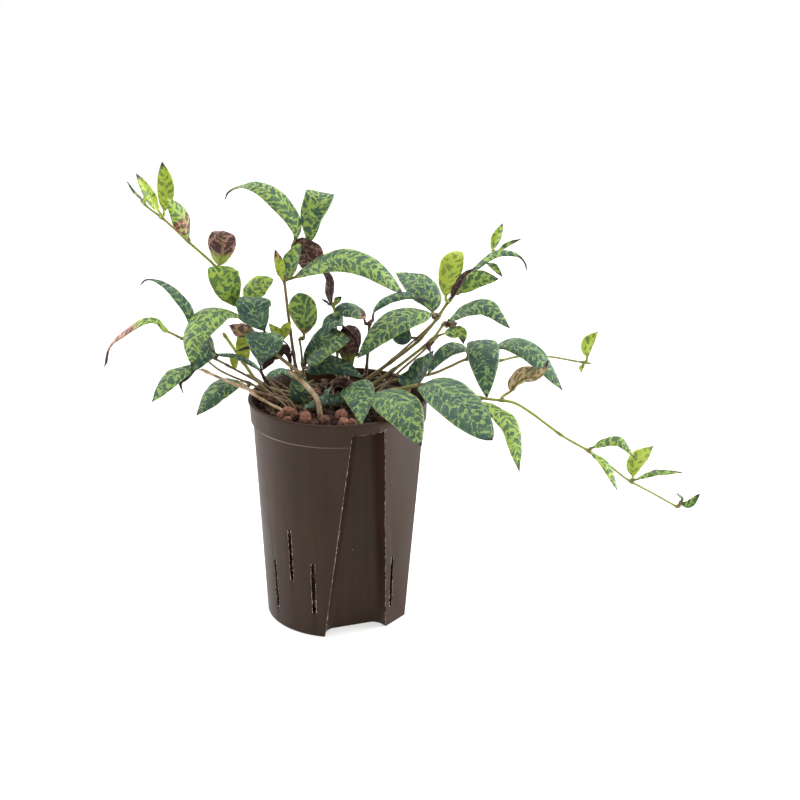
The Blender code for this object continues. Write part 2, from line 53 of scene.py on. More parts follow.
# Floor and light: a plain white table top, one broad soft light overhead, and a tall soft light at each side,
# so that the pot is lit along its left edge and its right flat and stays dark in front.
def linear(hex_colour):
    """A linear colour from an sRGB hex value."""
    channels = [int(hex_colour[i:i + 2], 16) / 255 for i in (1, 3, 5)]
    return (*[c / 12.92 if c <= 0.04045 else ((c + 0.055) / 1.055) ** 2.4 for c in channels], 1.0)


def set_inputs(material, node, inputs):
    """Sets sockets, each to a value, to an sRGB hex colour, or to what feeds it: an output, or a node's first
    one that is in use."""
    for socket, value in inputs.items():
        if isinstance(value, bpy.types.Node):
            value = next(output for output in value.outputs if output.enabled)
        if isinstance(value, bpy.types.NodeSocket):
            material.node_tree.links.new(value, node.inputs[socket])
        else:
            node.inputs[socket].default_value = linear(value) if isinstance(value, str) else value


def add_node(material, kind, inputs=None, stops=(), **settings):
    """A shader node with its settings and links, and with its stops if it is a colour ramp."""
    made = material.node_tree.nodes.new("ShaderNode" + kind)
    for name, value in settings.items():
        setattr(made, name, value)
    set_inputs(material, made, inputs or {})
    if stops:
        elements = made.color_ramp.elements
        while len(elements) < len(stops):
            elements.new(1.0)
        for element, (place, colour) in zip(elements, stops):
            element.position = place
            element.color = linear(colour)
    return made


def new_material(name):
    """An empty material and its Principled shader."""
    material = bpy.data.materials.new(name)
    material.use_nodes = True
    return material, material.node_tree.nodes["Principled BSDF"]


bpy.ops.mesh.primitive_circle_add(vertices=96, radius=1.9, fill_type="NGON", location=(0, 0, 0))
floor = bpy.context.object
floor.name = "table_top"
table_paint, shader = new_material("matt white table paint")
coordinates = add_node(table_paint, "TexCoord")
grain = add_node(table_paint, "TexNoise", {"Vector": coordinates.outputs["Object"], "Scale": 40.0})
shade = add_node(table_paint, "ValToRGB", {"Fac": grain}, stops=[(0.3, "#d6d5d4"), (0.7, "#dad9d8")])
set_inputs(table_paint, shader, {"Base Color": shade, "Roughness": 0.9, "Specular IOR Level": 0.2,
           "Emission Color": (1, 1, 1, 1), "Emission Strength": 0.5})
floor.data.materials.append(table_paint)

# The room is white overhead and behind the table, and dim in front. Its backdrop shows as plain white.
room = bpy.data.worlds.new("white_room")
bpy.context.scene.world = room
room.use_nodes = True
ambient = room.node_tree.nodes["Background"]
way = add_node(room, "TexCoord")
way_parts = add_node(room, "SeparateXYZ", {"Vector": way.outputs["Generated"]})
back_to_front = add_node(room, "MapRange", {"Value": way_parts.outputs["Y"], "From Min": -0.7,
                         "From Max": 0.6, "To Min": 0.3, "To Max": 1.0})
overhead = add_node(room, "MapRange", {"Value": way_parts.outputs["Z"], "From Min": 0.3, "From Max": 0.85,
                    "To Min": 0.0, "To Max": 1.0})
brighter = add_node(room, "Math", {0: back_to_front, 1: overhead}, operation="MAXIMUM")
seen = add_node(room, "LightPath")
strength = add_node(room, "Math", {0: brighter, 1: seen.outputs["Is Camera Ray"]}, operation="MAXIMUM")
set_inputs(room, ambient, {"Strength": strength, "Color": (1, 1, 1, 1)})

for name, place, aim, size, size_y, power in (
    ("overhead_softbox", (0.0, 0.3, 2.2), (0, 0, 0.1), 3.2, 3.2, 38.0),
    ("left_softbox", (-1.5, 0.45, 0.55), (0, 0, 0.15), 1.0, 1.2, 22.0),
    ("right_softbox", (1.5, 0.40, 0.6), (0, 0, 0.15), 1.0, 1.2, 34.0),
):
    bpy.ops.object.light_add(type="AREA", location=place)
    light = bpy.context.object
    light.name = name
    light.data.shape = "RECTANGLE"
    light.data.size = size
    light.data.size_y = size_y
    light.data.energy = power
    light.rotation_euler = (Vector(aim) - Vector(place)).to_track_quat("-Z", "Y").to_euler()


# Grow pot: one thin shell of dark brown polypropylene, injection moulded, with a lip, a stepped collar, a
# slanted recess for a water gauge, two flats beside it, and narrow slots for water in the wall and the floor.
MM = 0.001
POT_HEIGHT = 190.0
LIP_RADIUS = 74.2
COLLAR_RADIUS = 73.0
COLLAR_FOOT_RADIUS = 72.4
COLLAR_FOOT = 172.0
WALL_TOP_RADIUS = 70.4
BASE_RADIUS = 62.7
WALL = 1.6                                 # thickness
POT_FLOOR = 2.2
POT_STEPS = 144                            # around the pot
CUT_FOOT = -5.0                            # where a cut through the floor starts
EDGE_RADIUS = 0.45

CHANNEL_TURN = 19.4                        # degrees from the front towards +X
CHANNEL_TOP = 181.0
CHANNEL_REACH = 80.0
CHANNEL_ROUNDING = 6.0                     # of the recess along its inner corners
CHANNEL_BACK = (41.0, 51.0)                # distance of the back wall, at the base and at the top
CHANNEL_LEFT = ((-25.5, -42.9), (-3.0, -14.6))   # its side at the back and at the reach, base then top
CHANNEL_RIGHT = ((17.9, 33.5), (11.4, 21.6))
FLATS = (                                  # turn of the normal from +X, distance at the base, slope, top
    (-36.6, 56.2, 0.0528, 187.1),
    (0.0, 54.3, 0.0913, 171.0),
)
SLOT_WIDTH = 4.2
SLOT_LENGTH = 46.0
WALL_SLOTS = [(turn + group - 90, 0.0, bottom) for group in (0, -90, 180)
              for turn, bottom in ((-54, 14), (-36, 47), (-18, 21))] + [(-36.6, -5.5, 17)]
DRAIN_SLOTS = [72 * (i + 0.75) for i in range(5)]


def turned(name, profile, steps):
    """A filled circle extruded up through the rings of a profile of (radius, height)."""
    radius, height = profile[0]
    bpy.ops.mesh.primitive_circle_add(
        vertices=steps, radius=radius * MM, fill_type="NGON", location=(0, 0, height * MM))
    solid = bpy.context.object
    solid.name = name
    bpy.ops.object.mode_set(mode="EDIT")
    for next_radius, next_height in profile[1:]:
        rise = (0, 0, (next_height - height) * MM)
        bpy.ops.mesh.extrude_region_move(TRANSFORM_OT_translate={"value": rise})
        bpy.ops.transform.resize(value=(next_radius / radius, next_radius / radius, 1))
        radius, height = next_radius, next_height
    bpy.ops.mesh.select_all(action="SELECT")
    bpy.ops.mesh.normals_make_consistent(inside=False)
    bpy.ops.object.mode_set(mode="OBJECT")
    bpy.ops.object.transform_apply(location=True, rotation=True, scale=True)
    return solid


def cut(solid, low, high, corner_radius=0.0):
    """Takes away a block, given by its four low and four high corners, its first and last edges rounded."""
    bpy.ops.mesh.primitive_cube_add(size=2.0)
    block = bpy.context.object
    order = {(-1, -1): 0, (1, -1): 1, (1, 1): 2, (-1, 1): 3}
    bpy.ops.object.mode_set(mode="EDIT")
    bpy.ops.mesh.select_all(action="DESELECT")
    bpy.ops.object.mode_set(mode="OBJECT")
    for edge in block.data.edges:
        a, b = [block.data.vertices[i].co for i in edge.vertices]
        edge.select = abs(a.z - b.z) > 1 and a.x < 0
    for vert in block.data.vertices:
        corners = high if vert.co.z > 0 else low
        vert.co = corners[order[round(vert.co.x), round(vert.co.y)]] * MM
    if corner_radius:
        bpy.ops.object.mode_set(mode="EDIT")
        bpy.ops.mesh.select_mode(type="EDGE")
        bpy.ops.mesh.bevel(offset=corner_radius * MM, segments=6, affect="EDGES")
        bpy.ops.object.mode_set(mode="OBJECT")
    cut_by(solid, block)


def cut_by(solid, cutter):
    """Takes the cutter's shape out of a solid, and the cutter out of the scene."""
    modifier = solid.modifiers.new("cut", "BOOLEAN")
    modifier.operation = "DIFFERENCE"
    modifier.solver = "EXACT"
    modifier.object = cutter
    bpy.context.view_layer.objects.active = solid
    bpy.ops.object.modifier_apply(modifier=modifier.name)
    bpy.data.objects.remove(cutter, do_unlink=True)


def directions(turn):
    """The level directions out along a turn from +X, and square to it."""
    out = Vector((math.cos(math.radians(turn)), math.sin(math.radians(turn)), 0))
    return out, Vector((-out.y, out.x, 0))


def cut_channel(solid, grow):
    """The gauge recess, grown by the wall's thickness for the inner face."""
    out, side = directions(CHANNEL_TURN - 90)
    layers = []
    for z in (CUT_FOOT, CHANNEL_TOP + grow):
        part = z / CHANNEL_TOP
        back = CHANNEL_BACK[0] + (CHANNEL_BACK[1] - CHANNEL_BACK[0]) * part - grow
        left = [a + (b - a) * part - grow for a, b in zip(*CHANNEL_LEFT)]
        right = [a + (b - a) * part + grow for a, b in zip(*CHANNEL_RIGHT)]
        corners = ((back, left[0]), (CHANNEL_REACH, left[1]), (CHANNEL_REACH, right[1]), (back, right[0]))
        layers.append([out * n + side * t + Vector((0, 0, z)) for n, t in corners])
    cut(solid, *layers, corner_radius=CHANNEL_ROUNDING + grow)


def cut_upright(solid, turn, near, far, left, right, heights):
    """A block between two distances from the axis and two sides; near may differ at the two heights."""
    out, side = directions(turn)
    layers = []
    for z, start in zip(heights, near):
        corners = ((start, left), (far, left), (far, right), (start, right))
        layers.append([out * n + side * t + Vector((0, 0, z)) for n, t in corners])
    cut(solid, *layers)


def cut_wall_shape(solid, inset):
    """The recess and the flats, for a solid whose faces lie inset behind the outer face."""
    cut_channel(solid, inset)
    for turn, base, slope, top in FLATS:
        heights = (CUT_FOOT, top + inset * 0.5)
        near = [base + slope * z - inset for z in heights]
        cut_upright(solid, turn, near, 110.0, -70.0, 70.0, heights)


bpy.ops.object.select_all(action="DESELECT")
pot = turned("moulded_pot", (
    (BASE_RADIUS - 0.8, 0.0), (BASE_RADIUS, 0.8), (WALL_TOP_RADIUS, COLLAR_FOOT - 1.2),
    (COLLAR_FOOT_RADIUS, COLLAR_FOOT), (COLLAR_RADIUS, 187.4), (LIP_RADIUS - 0.3, 187.7),
    (LIP_RADIUS, 188.1), (LIP_RADIUS, 189.3), (LIP_RADIUS - 0.7, POT_HEIGHT)), POT_STEPS)
cut_wall_shape(pot, 0.0)
for turn, offset, bottom in WALL_SLOTS:
    half = SLOT_WIDTH / 2
    cut_upright(pot, turn, (50, 50), 80, offset - half, offset + half, (bottom, bottom + SLOT_LENGTH))
for turn in DRAIN_SLOTS:
    cut_upright(pot, turn, (18, 18), 34, -SLOT_WIDTH / 2, SLOT_WIDTH / 2, (CUT_FOOT, POT_FLOOR - CUT_FOOT))
cavity = turned("cavity", (
    (BASE_RADIUS - WALL, POT_FLOOR), (WALL_TOP_RADIUS - WALL, COLLAR_FOOT - WALL),
    (COLLAR_FOOT_RADIUS - WALL, COLLAR_FOOT + WALL), (COLLAR_RADIUS - WALL, POT_HEIGHT + 10)), POT_STEPS)
cut_wall_shape(cavity, WALL)
cut_by(pot, cavity)
bevel = pot.modifiers.new("edge_radius", "BEVEL")
bevel.width = EDGE_RADIUS * MM
bevel.segments = 2
bevel.limit_method = "ANGLE"
bevel.angle_limit = math.radians(32)
bevel.use_clamp_overlap = True
bpy.context.view_layer.objects.active = pot
bpy.ops.object.modifier_apply(modifier=bevel.name)
bpy.ops.object.select_all(action="DESELECT")
pot.select_set(True)
bpy.ops.object.shade_smooth_by_angle(angle=math.radians(28))

# Injection-moulded polypropylene: satin, a little streaked down the flow of the plastic, with specks of dust,
# and with a
# painted highlight: a pale line along the foot of the collar, brightest on the left. The specks are drawn 0.8
# mm wide, coarser than real dust, so that they show.
pot_plastic, shader = new_material("injection-moulded brown polypropylene")
coordinates = add_node(pot_plastic, "TexCoord")
upright = add_node(pot_plastic, "Mapping", {"Vector": coordinates.outputs["Object"], "Scale": (1, 1, 0.12)})
streaks = add_node(pot_plastic, "TexNoise", {"Vector": upright, "Scale": 90.0, "Detail": 3.0})
clouds = add_node(pot_plastic, "TexNoise", {"Vector": coordinates.outputs["Object"], "Scale": 22.0})
flow = add_node(pot_plastic, "Math", {0: streaks, 1: clouds}, operation="ADD")
tone = add_node(pot_plastic, "MapRange", {"Value": flow, "From Min": 0.7, "From Max": 1.3})
brown = add_node(pot_plastic, "ValToRGB", {"Fac": tone}, stops=[(0.0, "#2f2016"), (1.0, "#3b291d")])
# The pale line is a painted highlight at the foot of the collar, where its step catches the light. It fades
# to the right and stays off the recess and the flats.
height_here = add_node(pot_plastic, "SeparateXYZ", {"Vector": coordinates.outputs["Object"]})
from_line = add_node(pot_plastic, "Math", {0: height_here.outputs["Z"], 1: (COLLAR_FOOT - 1.6) * MM},
                     operation="SUBTRACT")
off_line = add_node(pot_plastic, "Math", {0: from_line}, operation="ABSOLUTE")
on_line = add_node(pot_plastic, "MapRange", {"Value": off_line, "From Min": 0.25 * MM, "From Max": 0.6 * MM,
                   "To Min": 0.5, "To Max": 0.0})
to_the_right = add_node(pot_plastic, "MapRange", {"Value": height_here.outputs["X"], "From Min": -60 * MM,
                        "From Max": 10 * MM, "To Min": 1.1, "To Max": 0.3})
across = add_node(pot_plastic, "VectorMath", {0: coordinates.outputs["Object"], 1: (1, 1, 0)},
                  operation="MULTIPLY")
from_axis = add_node(pot_plastic, "VectorMath", {0: across}, operation="LENGTH")
on_wall = add_node(pot_plastic, "Math", {0: from_axis, 1: 68 * MM}, operation="GREATER_THAN")
faded = add_node(pot_plastic, "Math", {0: to_the_right, 1: on_wall}, operation="MULTIPLY")
# How strongly the painted highlight shows at each point.
painted_collar_highlight = add_node(pot_plastic, "Math", {0: on_line, 1: faded}, operation="MULTIPLY")
with_collar_highlight = add_node(pot_plastic, "Mix", {0: painted_collar_highlight, 6: brown, 7: "#a3968a"}, data_type="RGBA")
cells = add_node(pot_plastic, "TexVoronoi", {"Vector": coordinates.outputs["Object"], "Scale": 160.0})
speck = add_node(pot_plastic, "MapRange", {"Value": cells, "From Min": 0.05, "From Max": 0.13, "To Min": 1.0,
                 "To Max": 0.0})
rare = add_node(pot_plastic, "Math", {0: cells.outputs["Color"], 1: 0.9}, operation="GREATER_THAN")
dust = add_node(pot_plastic, "Math", {0: speck, 1: rare}, operation="MULTIPLY")
dusty = add_node(pot_plastic, "Mix", {0: dust, 6: with_collar_highlight, 7: "#8f8478"}, data_type="RGBA")
gloss = add_node(pot_plastic, "MapRange", {"Value": clouds, "From Min": 0.3, "From Max": 0.7, "To Min": 0.42,
                 "To Max": 0.54})
grain = add_node(pot_plastic, "TexNoise", {"Vector": coordinates.outputs["Object"], "Scale": 1400.0})
skin = add_node(pot_plastic, "Bump", {"Height": grain, "Strength": 0.25, "Distance": 0.0002})
sink = add_node(pot_plastic, "Bump", {"Height": streaks, "Strength": 0.15, "Distance": 0.0012,
                "Normal": skin})
set_inputs(pot_plastic, shader, {"Base Color": dusty, "Roughness": gloss, "Normal": sink, "IOR": 1.49,
           "Specular IOR Level": 0.16})
pot.data.materials.clear()
pot.data.materials.append(pot_plastic)
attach(pot, "root")
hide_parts("grow_pot")

# Flash: the slots and the recess are trimmed out of the moulding, which leaves a thin, torn and pale fringe
# on their edges. Along the sides and the top of the recess the pale fringe is partly a painted highlight, for
# the light that these edges catch.
chance = random.Random(11)
FLASH_STEP = 1.3                           # between the teeth of the fringe along a slot
RECESS_STEPS = 130
fringe = bmesh.new()


def tear_along(edge_points, out_of_wall, over_opening, reaches):
    """A ragged ribbon of torn plastic, from just inside an edge to a little over the opening."""
    last = None
    for place, out, over, reach in zip(edge_points, out_of_wall, over_opening, reaches):
        root = place - out * 0.5 - over * 0.2
        tip = place - out * 0.4 + out * chance.uniform(-0.2, 0.6) + over * reach
        tip.z += chance.uniform(-0.5, 0.5)
        pair = [fringe.verts.new(root * MM), fringe.verts.new(tip * MM)]
        if last:
            fringe.faces.new((last[0], last[1], pair[1], pair[0]))
        last = pair


def thin_piece(name, ribbons, thickness, offset):
    """Makes ribbons of faces a piece, with the thickness to one side of them or to both."""
    mesh = bpy.data.meshes.new(name)
    ribbons.to_mesh(mesh)
    ribbons.free()
    piece = bpy.data.objects.new(name, mesh)
    bpy.context.scene.collection.objects.link(piece)
    thick = piece.modifiers.new("thickness", "SOLIDIFY")
    thick.thickness = thickness * MM
    thick.offset = offset
    return piece


def wall_radius(z):
    """Outer radius of the round wall and of the collar above it."""
    if z > COLLAR_FOOT:
        return COLLAR_FOOT_RADIUS
    return BASE_RADIUS + (WALL_TOP_RADIUS - BASE_RADIUS) * z / COLLAR_FOOT


for turn, offset, bottom in WALL_SLOTS:
    out, side = directions(turn)
    steps = int(SLOT_LENGTH / FLASH_STEP)
    for edge, inward in ((offset - SLOT_WIDTH / 2, 1), (offset + SLOT_WIDTH / 2, -1)):
        edge_points, reaches = [], []
        for i in range(steps + 1):
            z = bottom + SLOT_LENGTH * i / steps
            if turn == FLATS[0][0]:
                face = FLATS[0][1] + FLATS[0][2] * z
            else:
                face = math.sqrt(wall_radius(z) ** 2 - edge ** 2)
            edge_points.append(out * face + side * edge + Vector((0, 0, z)))
            near_end = max(0.0, 1 - i / 5) + max(0.0, 1 - (steps - i) / 4)
            reaches.append(chance.uniform(0.0, 0.9) ** 1.5 + 0.8 * min(near_end, 1.0) * chance.random())
        tear_along(edge_points, [out] * (steps + 1), [side * inward] * (steps + 1), reaches)


def recess_edge(z, at_back, at_reach):
    """Where a line out through the recess, between two places across it, comes out of the pot."""
    back = CHANNEL_BACK[0] + (CHANNEL_BACK[1] - CHANNEL_BACK[0]) * z / CHANNEL_TOP
    near, far = 0.0, 1.0
    for _ in range(24):                    # halves the step until the point lies on the outside of the pot
        middle = (near + far) / 2
        place = out * (back + (CHANNEL_REACH - back) * middle)
        place += side * (at_back + (at_reach - at_back) * middle)
        beyond = place.length > wall_radius(z) or any(
            z < top and place.dot(directions(turn)[0]) > base + slope * z for turn, base, slope, top in FLATS)
        near, far = (near, middle) if beyond else (middle, far)
    return place + Vector((0, 0, z))


# Along the sides and the top of the recess the pale fringe is partly torn flash and partly a painted
# highlight on these edges.
out, side = directions(CHANNEL_TURN - 90)
for sides, inward in ((CHANNEL_LEFT, 1), (CHANNEL_RIGHT, -1)):
    edge_points = []
    for i in range(RECESS_STEPS + 1):
        z = 0.8 + (CHANNEL_TOP - 1.2) * i / RECESS_STEPS
        edge_points.append(recess_edge(z, *[a + (b - a) * z / CHANNEL_TOP for a, b in zip(*sides)]))
    reaches = [0.15 + chance.uniform(0.0, 0.8) ** 2 for _ in edge_points]
    tear_along(edge_points, [out] * len(edge_points), [side * inward] * len(edge_points), reaches)
top_left, top_right = round(CHANNEL_LEFT[1][1]) + 3, round(CHANNEL_RIGHT[1][1]) - 1
edge_points = [recess_edge(CHANNEL_TOP, across, across) for across in range(top_left, top_right)]
reaches = [0.1 + chance.uniform(0.0, 0.6) ** 2 for _ in edge_points]
tear_along(edge_points, [out] * len(edge_points), [Vector((0, 0, -1))] * len(edge_points), reaches)
flash = thin_piece("slot_flash", fringe, 0.25, 0.0)
torn_plastic, shader = new_material("torn edge of brown polypropylene")
coordinates = add_node(torn_plastic, "TexCoord")
patches = add_node(torn_plastic, "TexNoise", {"Vector": coordinates.outputs["Object"], "Scale": 500.0})
# The pale tone is the torn flash's own, and on the recess's edges it is also a painted highlight.
pale_flash_and_highlight = add_node(torn_plastic, "ValToRGB", {"Fac": patches}, stops=[(0.36, "#5a493d"), (0.6, "#b3a292")])
set_inputs(torn_plastic, shader, {"Base Color": pale_flash_and_highlight, "Roughness": 0.55})
flash.data.materials.append(torn_plastic)
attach(flash, "root")


# Clay granules: broken lumps of fired clay, 7 to 13 mm, poured around the roots. They fill the pot to just
# under the rim, and some are heaped at the front.
GRANULE_TOP = 178.0
GRANULE_LUMPS = 7                          # different lumps that are copied
LUMP_BREAKS = 7                            # flat breaks on each
GRANULE_RADII = (3.6, 6.2)
SLOT_GRANULE_RADII = (3.0, 4.2)            # of the ones that show through the wall slots
CLOSENESS = 0.86                           # of neighbours, as a share of their two radii
chance = random.Random(5)


def granule_lump(index):
    """A lump as broken from a bigger one: a ball pushed in by a few flat breaks and roughened."""
    bpy.ops.mesh.primitive_ico_sphere_add(subdivisions=2, radius=1.0)
    lump = bpy.context.object
    lump.name = "granule_lump_%d" % index
    breaks = []
    for _ in range(LUMP_BREAKS):
        normal = Vector([chance.gauss(0, 1) for _ in range(3)]).normalized()
        breaks.append((normal, chance.uniform(0.62, 0.9)))
    stretch = Vector((chance.uniform(0.85, 1.15), chance.uniform(0.8, 1.05), chance.uniform(0.75, 1.0)))
    for vert in lump.data.vertices:
        place = vert.co.copy()
        for normal, depth in breaks:
            beyond = place.dot(normal) - depth
            if beyond > 0:
                place -= normal * beyond * 0.85
        rough = noise.noise(place * 2.3 + Vector((index * 7.1, 0, 0))) * 0.16
        rough += noise.noise(place * 6.0 + Vector((0, index * 3.7, 0))) * 0.07
        place *= 1 + rough
        vert.co = Vector([p * s for p, s in zip(place, stretch)])
    return lump


def join_pieces(pieces):
    """Joins pieces to the first of them."""
    bpy.ops.object.select_all(action="DESELECT")
    for piece in pieces:
        piece.select_set(True)
    bpy.context.view_layer.objects.active = pieces[0]
    bpy.ops.object.join()
    return pieces[0]


def lay_granules(name, places):
    """Copies the lumps to places of (position, radius), marks each with its tone, painted paler the higher it
    lies above the granule top as a painted light on the top of the heap, and joins them."""
    laid = []
    for position, radius in places:
        lump = chance.choice(lumps)
        mesh = lump.data.copy()
        turn = Matrix.Rotation(chance.uniform(0, math.tau), 4, Vector([chance.gauss(0, 1) for _ in range(3)]))
        mesh.transform(Matrix.Translation(position * MM) @ turn @ Matrix.Scale(radius * MM, 4))
        tone_layer = mesh.attributes.new("granule_tone", "FLOAT", "POINT")
        # Painted light and shade: lumps above the granule top are painted paler the higher they lie, as if
        # lit, and the lower ones stay darker, as if in shade.
        painted_height_light = min(max((position.z - GRANULE_TOP) / 12, 0.0), 1.0)
        tone_value = min(max(chance.gauss(0.25 + 0.5 * painted_height_light, 0.18), 0.0), 1.0)
        tone_layer.data.foreach_set("value", [tone_value] * len(mesh.vertices))
        laid.append(bpy.data.objects.new(name, mesh))
        bpy.context.scene.collection.objects.link(laid[-1])
    heap = join_pieces(laid)
    heap.name = name
    bpy.ops.object.shade_smooth_by_angle(angle=math.radians(38))
    return heap


def inside_pot(place, radius):
    """Whether a granule at a place stays clear of the wall, the recess and the flats."""
    outer_radius = BASE_RADIUS + (WALL_TOP_RADIUS - BASE_RADIUS) * place.z / COLLAR_FOOT
    if math.hypot(place.x, place.y) > outer_radius - WALL - radius:
        return False
    for turn, base, slope, top in FLATS:
        out, _ = directions(turn)
        if place.z < top and place.dot(out) > base + slope * place.z - WALL - radius:
            return False
    out, side = directions(CHANNEL_TURN - 90)
    part = place.z / CHANNEL_TOP
    back = CHANNEL_BACK[0] + (CHANNEL_BACK[1] - CHANNEL_BACK[0]) * part - WALL - radius
    left = CHANNEL_LEFT[0][0] + (CHANNEL_LEFT[1][0] - CHANNEL_LEFT[0][0]) * part - 5 - radius
    right = CHANNEL_RIGHT[0][0] + (CHANNEL_RIGHT[1][0] - CHANNEL_RIGHT[0][0]) * part + 5 + radius
    over = place.z > CHANNEL_TOP + WALL + radius * 0.8
    return over or place.dot(out) < back or not left < place.dot(side) < right


lumps = [granule_lump(i) for i in range(GRANULE_LUMPS)]
front_granules = (                         # the big ones heaped behind the front rim: place and radius
    ((-38.0, -41.5, 190.5), 6.0), ((-43.5, -42.0, 187.5), 4.0), ((-32.5, -46.5, 188.0), 4.2),
    ((-39.0, -49.0, 185.5), 4.6), ((-24.0, -50.0, 188.0), 6.4), ((-8.0, -57.0, 187.5), 5.0),
    ((5.5, -57.0, 186.5), 5.4), ((4.0, -45.0, 188.5), 6.2), ((14.0, -55.5, 186.0), 4.6),
    ((-16.5, -57.0, 185.0), 4.2), ((-9.0, -46.0, 184.0), 5.4),
)
granule_places = [(Vector(place), radius) for place, radius in front_granules]
for layer_height, tries in ((178.5, 3000), (172.5, 2200), (166.0, 1200)):
    for _ in range(tries):
        radius = chance.uniform(*GRANULE_RADII)
        far, turn = 70 * math.sqrt(chance.random()), chance.uniform(0, math.tau)
        place = Vector((far * math.cos(turn), far * math.sin(turn), layer_height + chance.uniform(-2.2, 2.0)))
        clear = all((place - other).length > CLOSENESS * (radius + size) for other, size in granule_places)
        if clear and inside_pot(place, radius * 1.2):
            granule_places.append((place, radius))
for turn, offset, bottom in WALL_SLOTS:
    out, side = directions(turn)
    height = bottom + 1.0
    while height < bottom + SLOT_LENGTH:
        radius = chance.uniform(*SLOT_GRANULE_RADII)
        on_flat = turn == FLATS[0][0]
        face = FLATS[0][1] + FLATS[0][2] * height if on_flat else wall_radius(height)
        depth = face - WALL - 0.9 - radius * 1.12
        place = out * depth + side * (offset + chance.uniform(-1.2, 1.2)) + Vector((0, 0, height))
        granule_places.append((place, radius))
        height += radius * 1.55
granules = lay_granules("granule_bed", granule_places)
for lump in lumps:
    bpy.data.objects.remove(lump, do_unlink=True)

# Fired clay: a matt red-brown skin, rough and pitted by gas bubbles, and painted paler on the lumps that lie
# highest, a painted light on the top of the heap.
# The pits are drawn about 1.5 mm wide, coarser than real ones, so that they show.
fired_clay, shader = new_material("fired clay, pitted")
coordinates = add_node(fired_clay, "TexCoord")
own_tone = add_node(fired_clay, "Attribute", attribute_name="granule_tone")
mottle = add_node(fired_clay, "TexNoise", {"Vector": coordinates.outputs["Object"], "Scale": 300.0,
                  "Detail": 4.0, "Roughness": 0.7})
blend = add_node(fired_clay, "Math", {0: own_tone.outputs["Fac"], 1: mottle}, operation="ADD")
tone = add_node(fired_clay, "MapRange", {"Value": blend, "From Min": 0.45, "From Max": 1.5})
clay = add_node(fired_clay, "ValToRGB", {"Fac": tone}, stops=[(0.0, "#24140f"), (0.3, "#452a20"),
                (0.6, "#6f4738"), (1.0, "#a3755c")])
pits = add_node(fired_clay, "TexVoronoi", {"Vector": coordinates.outputs["Object"], "Scale": 430.0})
pit_shade = add_node(fired_clay, "MapRange", {"Value": pits, "From Min": 0.1, "From Max": 0.42, "To Min": 0.7,
                     "To Max": 0.0})
pitted = add_node(fired_clay, "Mix", {0: pit_shade, 6: clay, 7: "#3b1f1b"}, data_type="RGBA")
relief = add_node(fired_clay, "Bump", {"Height": pits, "Strength": 0.9, "Distance": 0.0012})
rough = add_node(fired_clay, "Bump", {"Height": mottle, "Strength": 0.6, "Distance": 0.0012,
                 "Normal": relief})
set_inputs(fired_clay, shader, {"Base Color": pitted, "Normal": rough, "Roughness": 0.88})
granules.data.materials.clear()
granules.data.materials.append(fired_clay)
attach(granules, "root")

# Deeper granules: the bed under the layers that show, one rough body that closes the view between the lumps.
# The cuts leave many-sided faces, which are split here because an export would split them badly.
DEEP_BED_INSET = WALL + 2.5                # behind the outer face of the pot
deep_bed = turned("deep_granules", (
    (BASE_RADIUS - DEEP_BED_INSET, POT_FLOOR + 1.0),
    (WALL_TOP_RADIUS - DEEP_BED_INSET, GRANULE_TOP - 8.0)), POT_STEPS // 2)
cut_wall_shape(deep_bed, DEEP_BED_INSET)
bpy.ops.object.mode_set(mode="EDIT")
bpy.ops.mesh.select_all(action="SELECT")
bpy.ops.mesh.quads_convert_to_tris(ngon_method="BEAUTY")
bpy.ops.object.mode_set(mode="OBJECT")
# Its colour is painted shade: the bed is drawn much darker than the lumps above it, for the shadow between
# them.
shadowed_clay, shader = new_material("fired clay in shadow")
coordinates = add_node(shadowed_clay, "TexCoord")
lumps_below = add_node(shadowed_clay, "TexVoronoi", {"Vector": coordinates.outputs["Object"], "Scale": 110.0})
deep = add_node(shadowed_clay, "ValToRGB", {"Fac": lumps_below}, stops=[(0.1, "#5a352c"), (0.6, "#1d100d")])
dip = add_node(shadowed_clay, "Bump", {"Height": lumps_below, "Strength": 1.0, "Distance": 0.004},
               invert=True)
set_inputs(shadowed_clay, shader, {"Base Color": deep, "Normal": dip, "Roughness": 0.95})
deep_bed.data.materials.clear()
deep_bed.data.materials.append(shadowed_clay)
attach(deep_bed, "root")
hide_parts("clay_granules")

# Root ball: the roots grown through the granules. Only thin strands of it show between the granules.
root_mat, shader = new_material("matted brown roots")
coordinates = add_node(root_mat, "TexCoord")
strands = add_node(root_mat, "TexNoise", {"Vector": coordinates.outputs["Object"], "Scale": 260.0,
                   "Detail": 6.0, "Distortion": 2.0})
fibre = add_node(root_mat, "ValToRGB", {"Fac": strands}, stops=[(0.35, "#150d09"), (0.65, "#4d3826")])
fibre_relief = add_node(root_mat, "Bump", {"Height": strands, "Strength": 0.8, "Distance": 0.001})
set_inputs(root_mat, shader, {"Base Color": fibre, "Normal": fibre_relief, "Roughness": 0.9})
bpy.data.objects["root_ball"].data.materials.clear()
bpy.data.objects["root_ball"].data.materials.append(root_mat)


# Stems: thin woody shoots that root in the granules, a little swollen at each pair of leaves. Young ends are
# olive green, older ones brown, and the oldest are dry, beige and frayed where they were cut.
STEM_RISE = 3.0                            # first stretch, square to what the stem grows on
STALK_GAP = 0.6                            # between a stem's solid and one that grows on it
STEM_SLIMNESS = 0.92                       # of the bark, inside the solid of the frame
BED_DEPTH = 4.0                            # how far a stem's foot reaches into the granules
BARK_SPACING = 1.6                         # between the rings of a stem's mesh
SWELLING = 0.42                            # of a stem's radius where a leaf grows
stems = {}                                 # name to (route, radius at the foot and at the tip)
stem_nodes = {}                            # name to the places where leaves grow on it


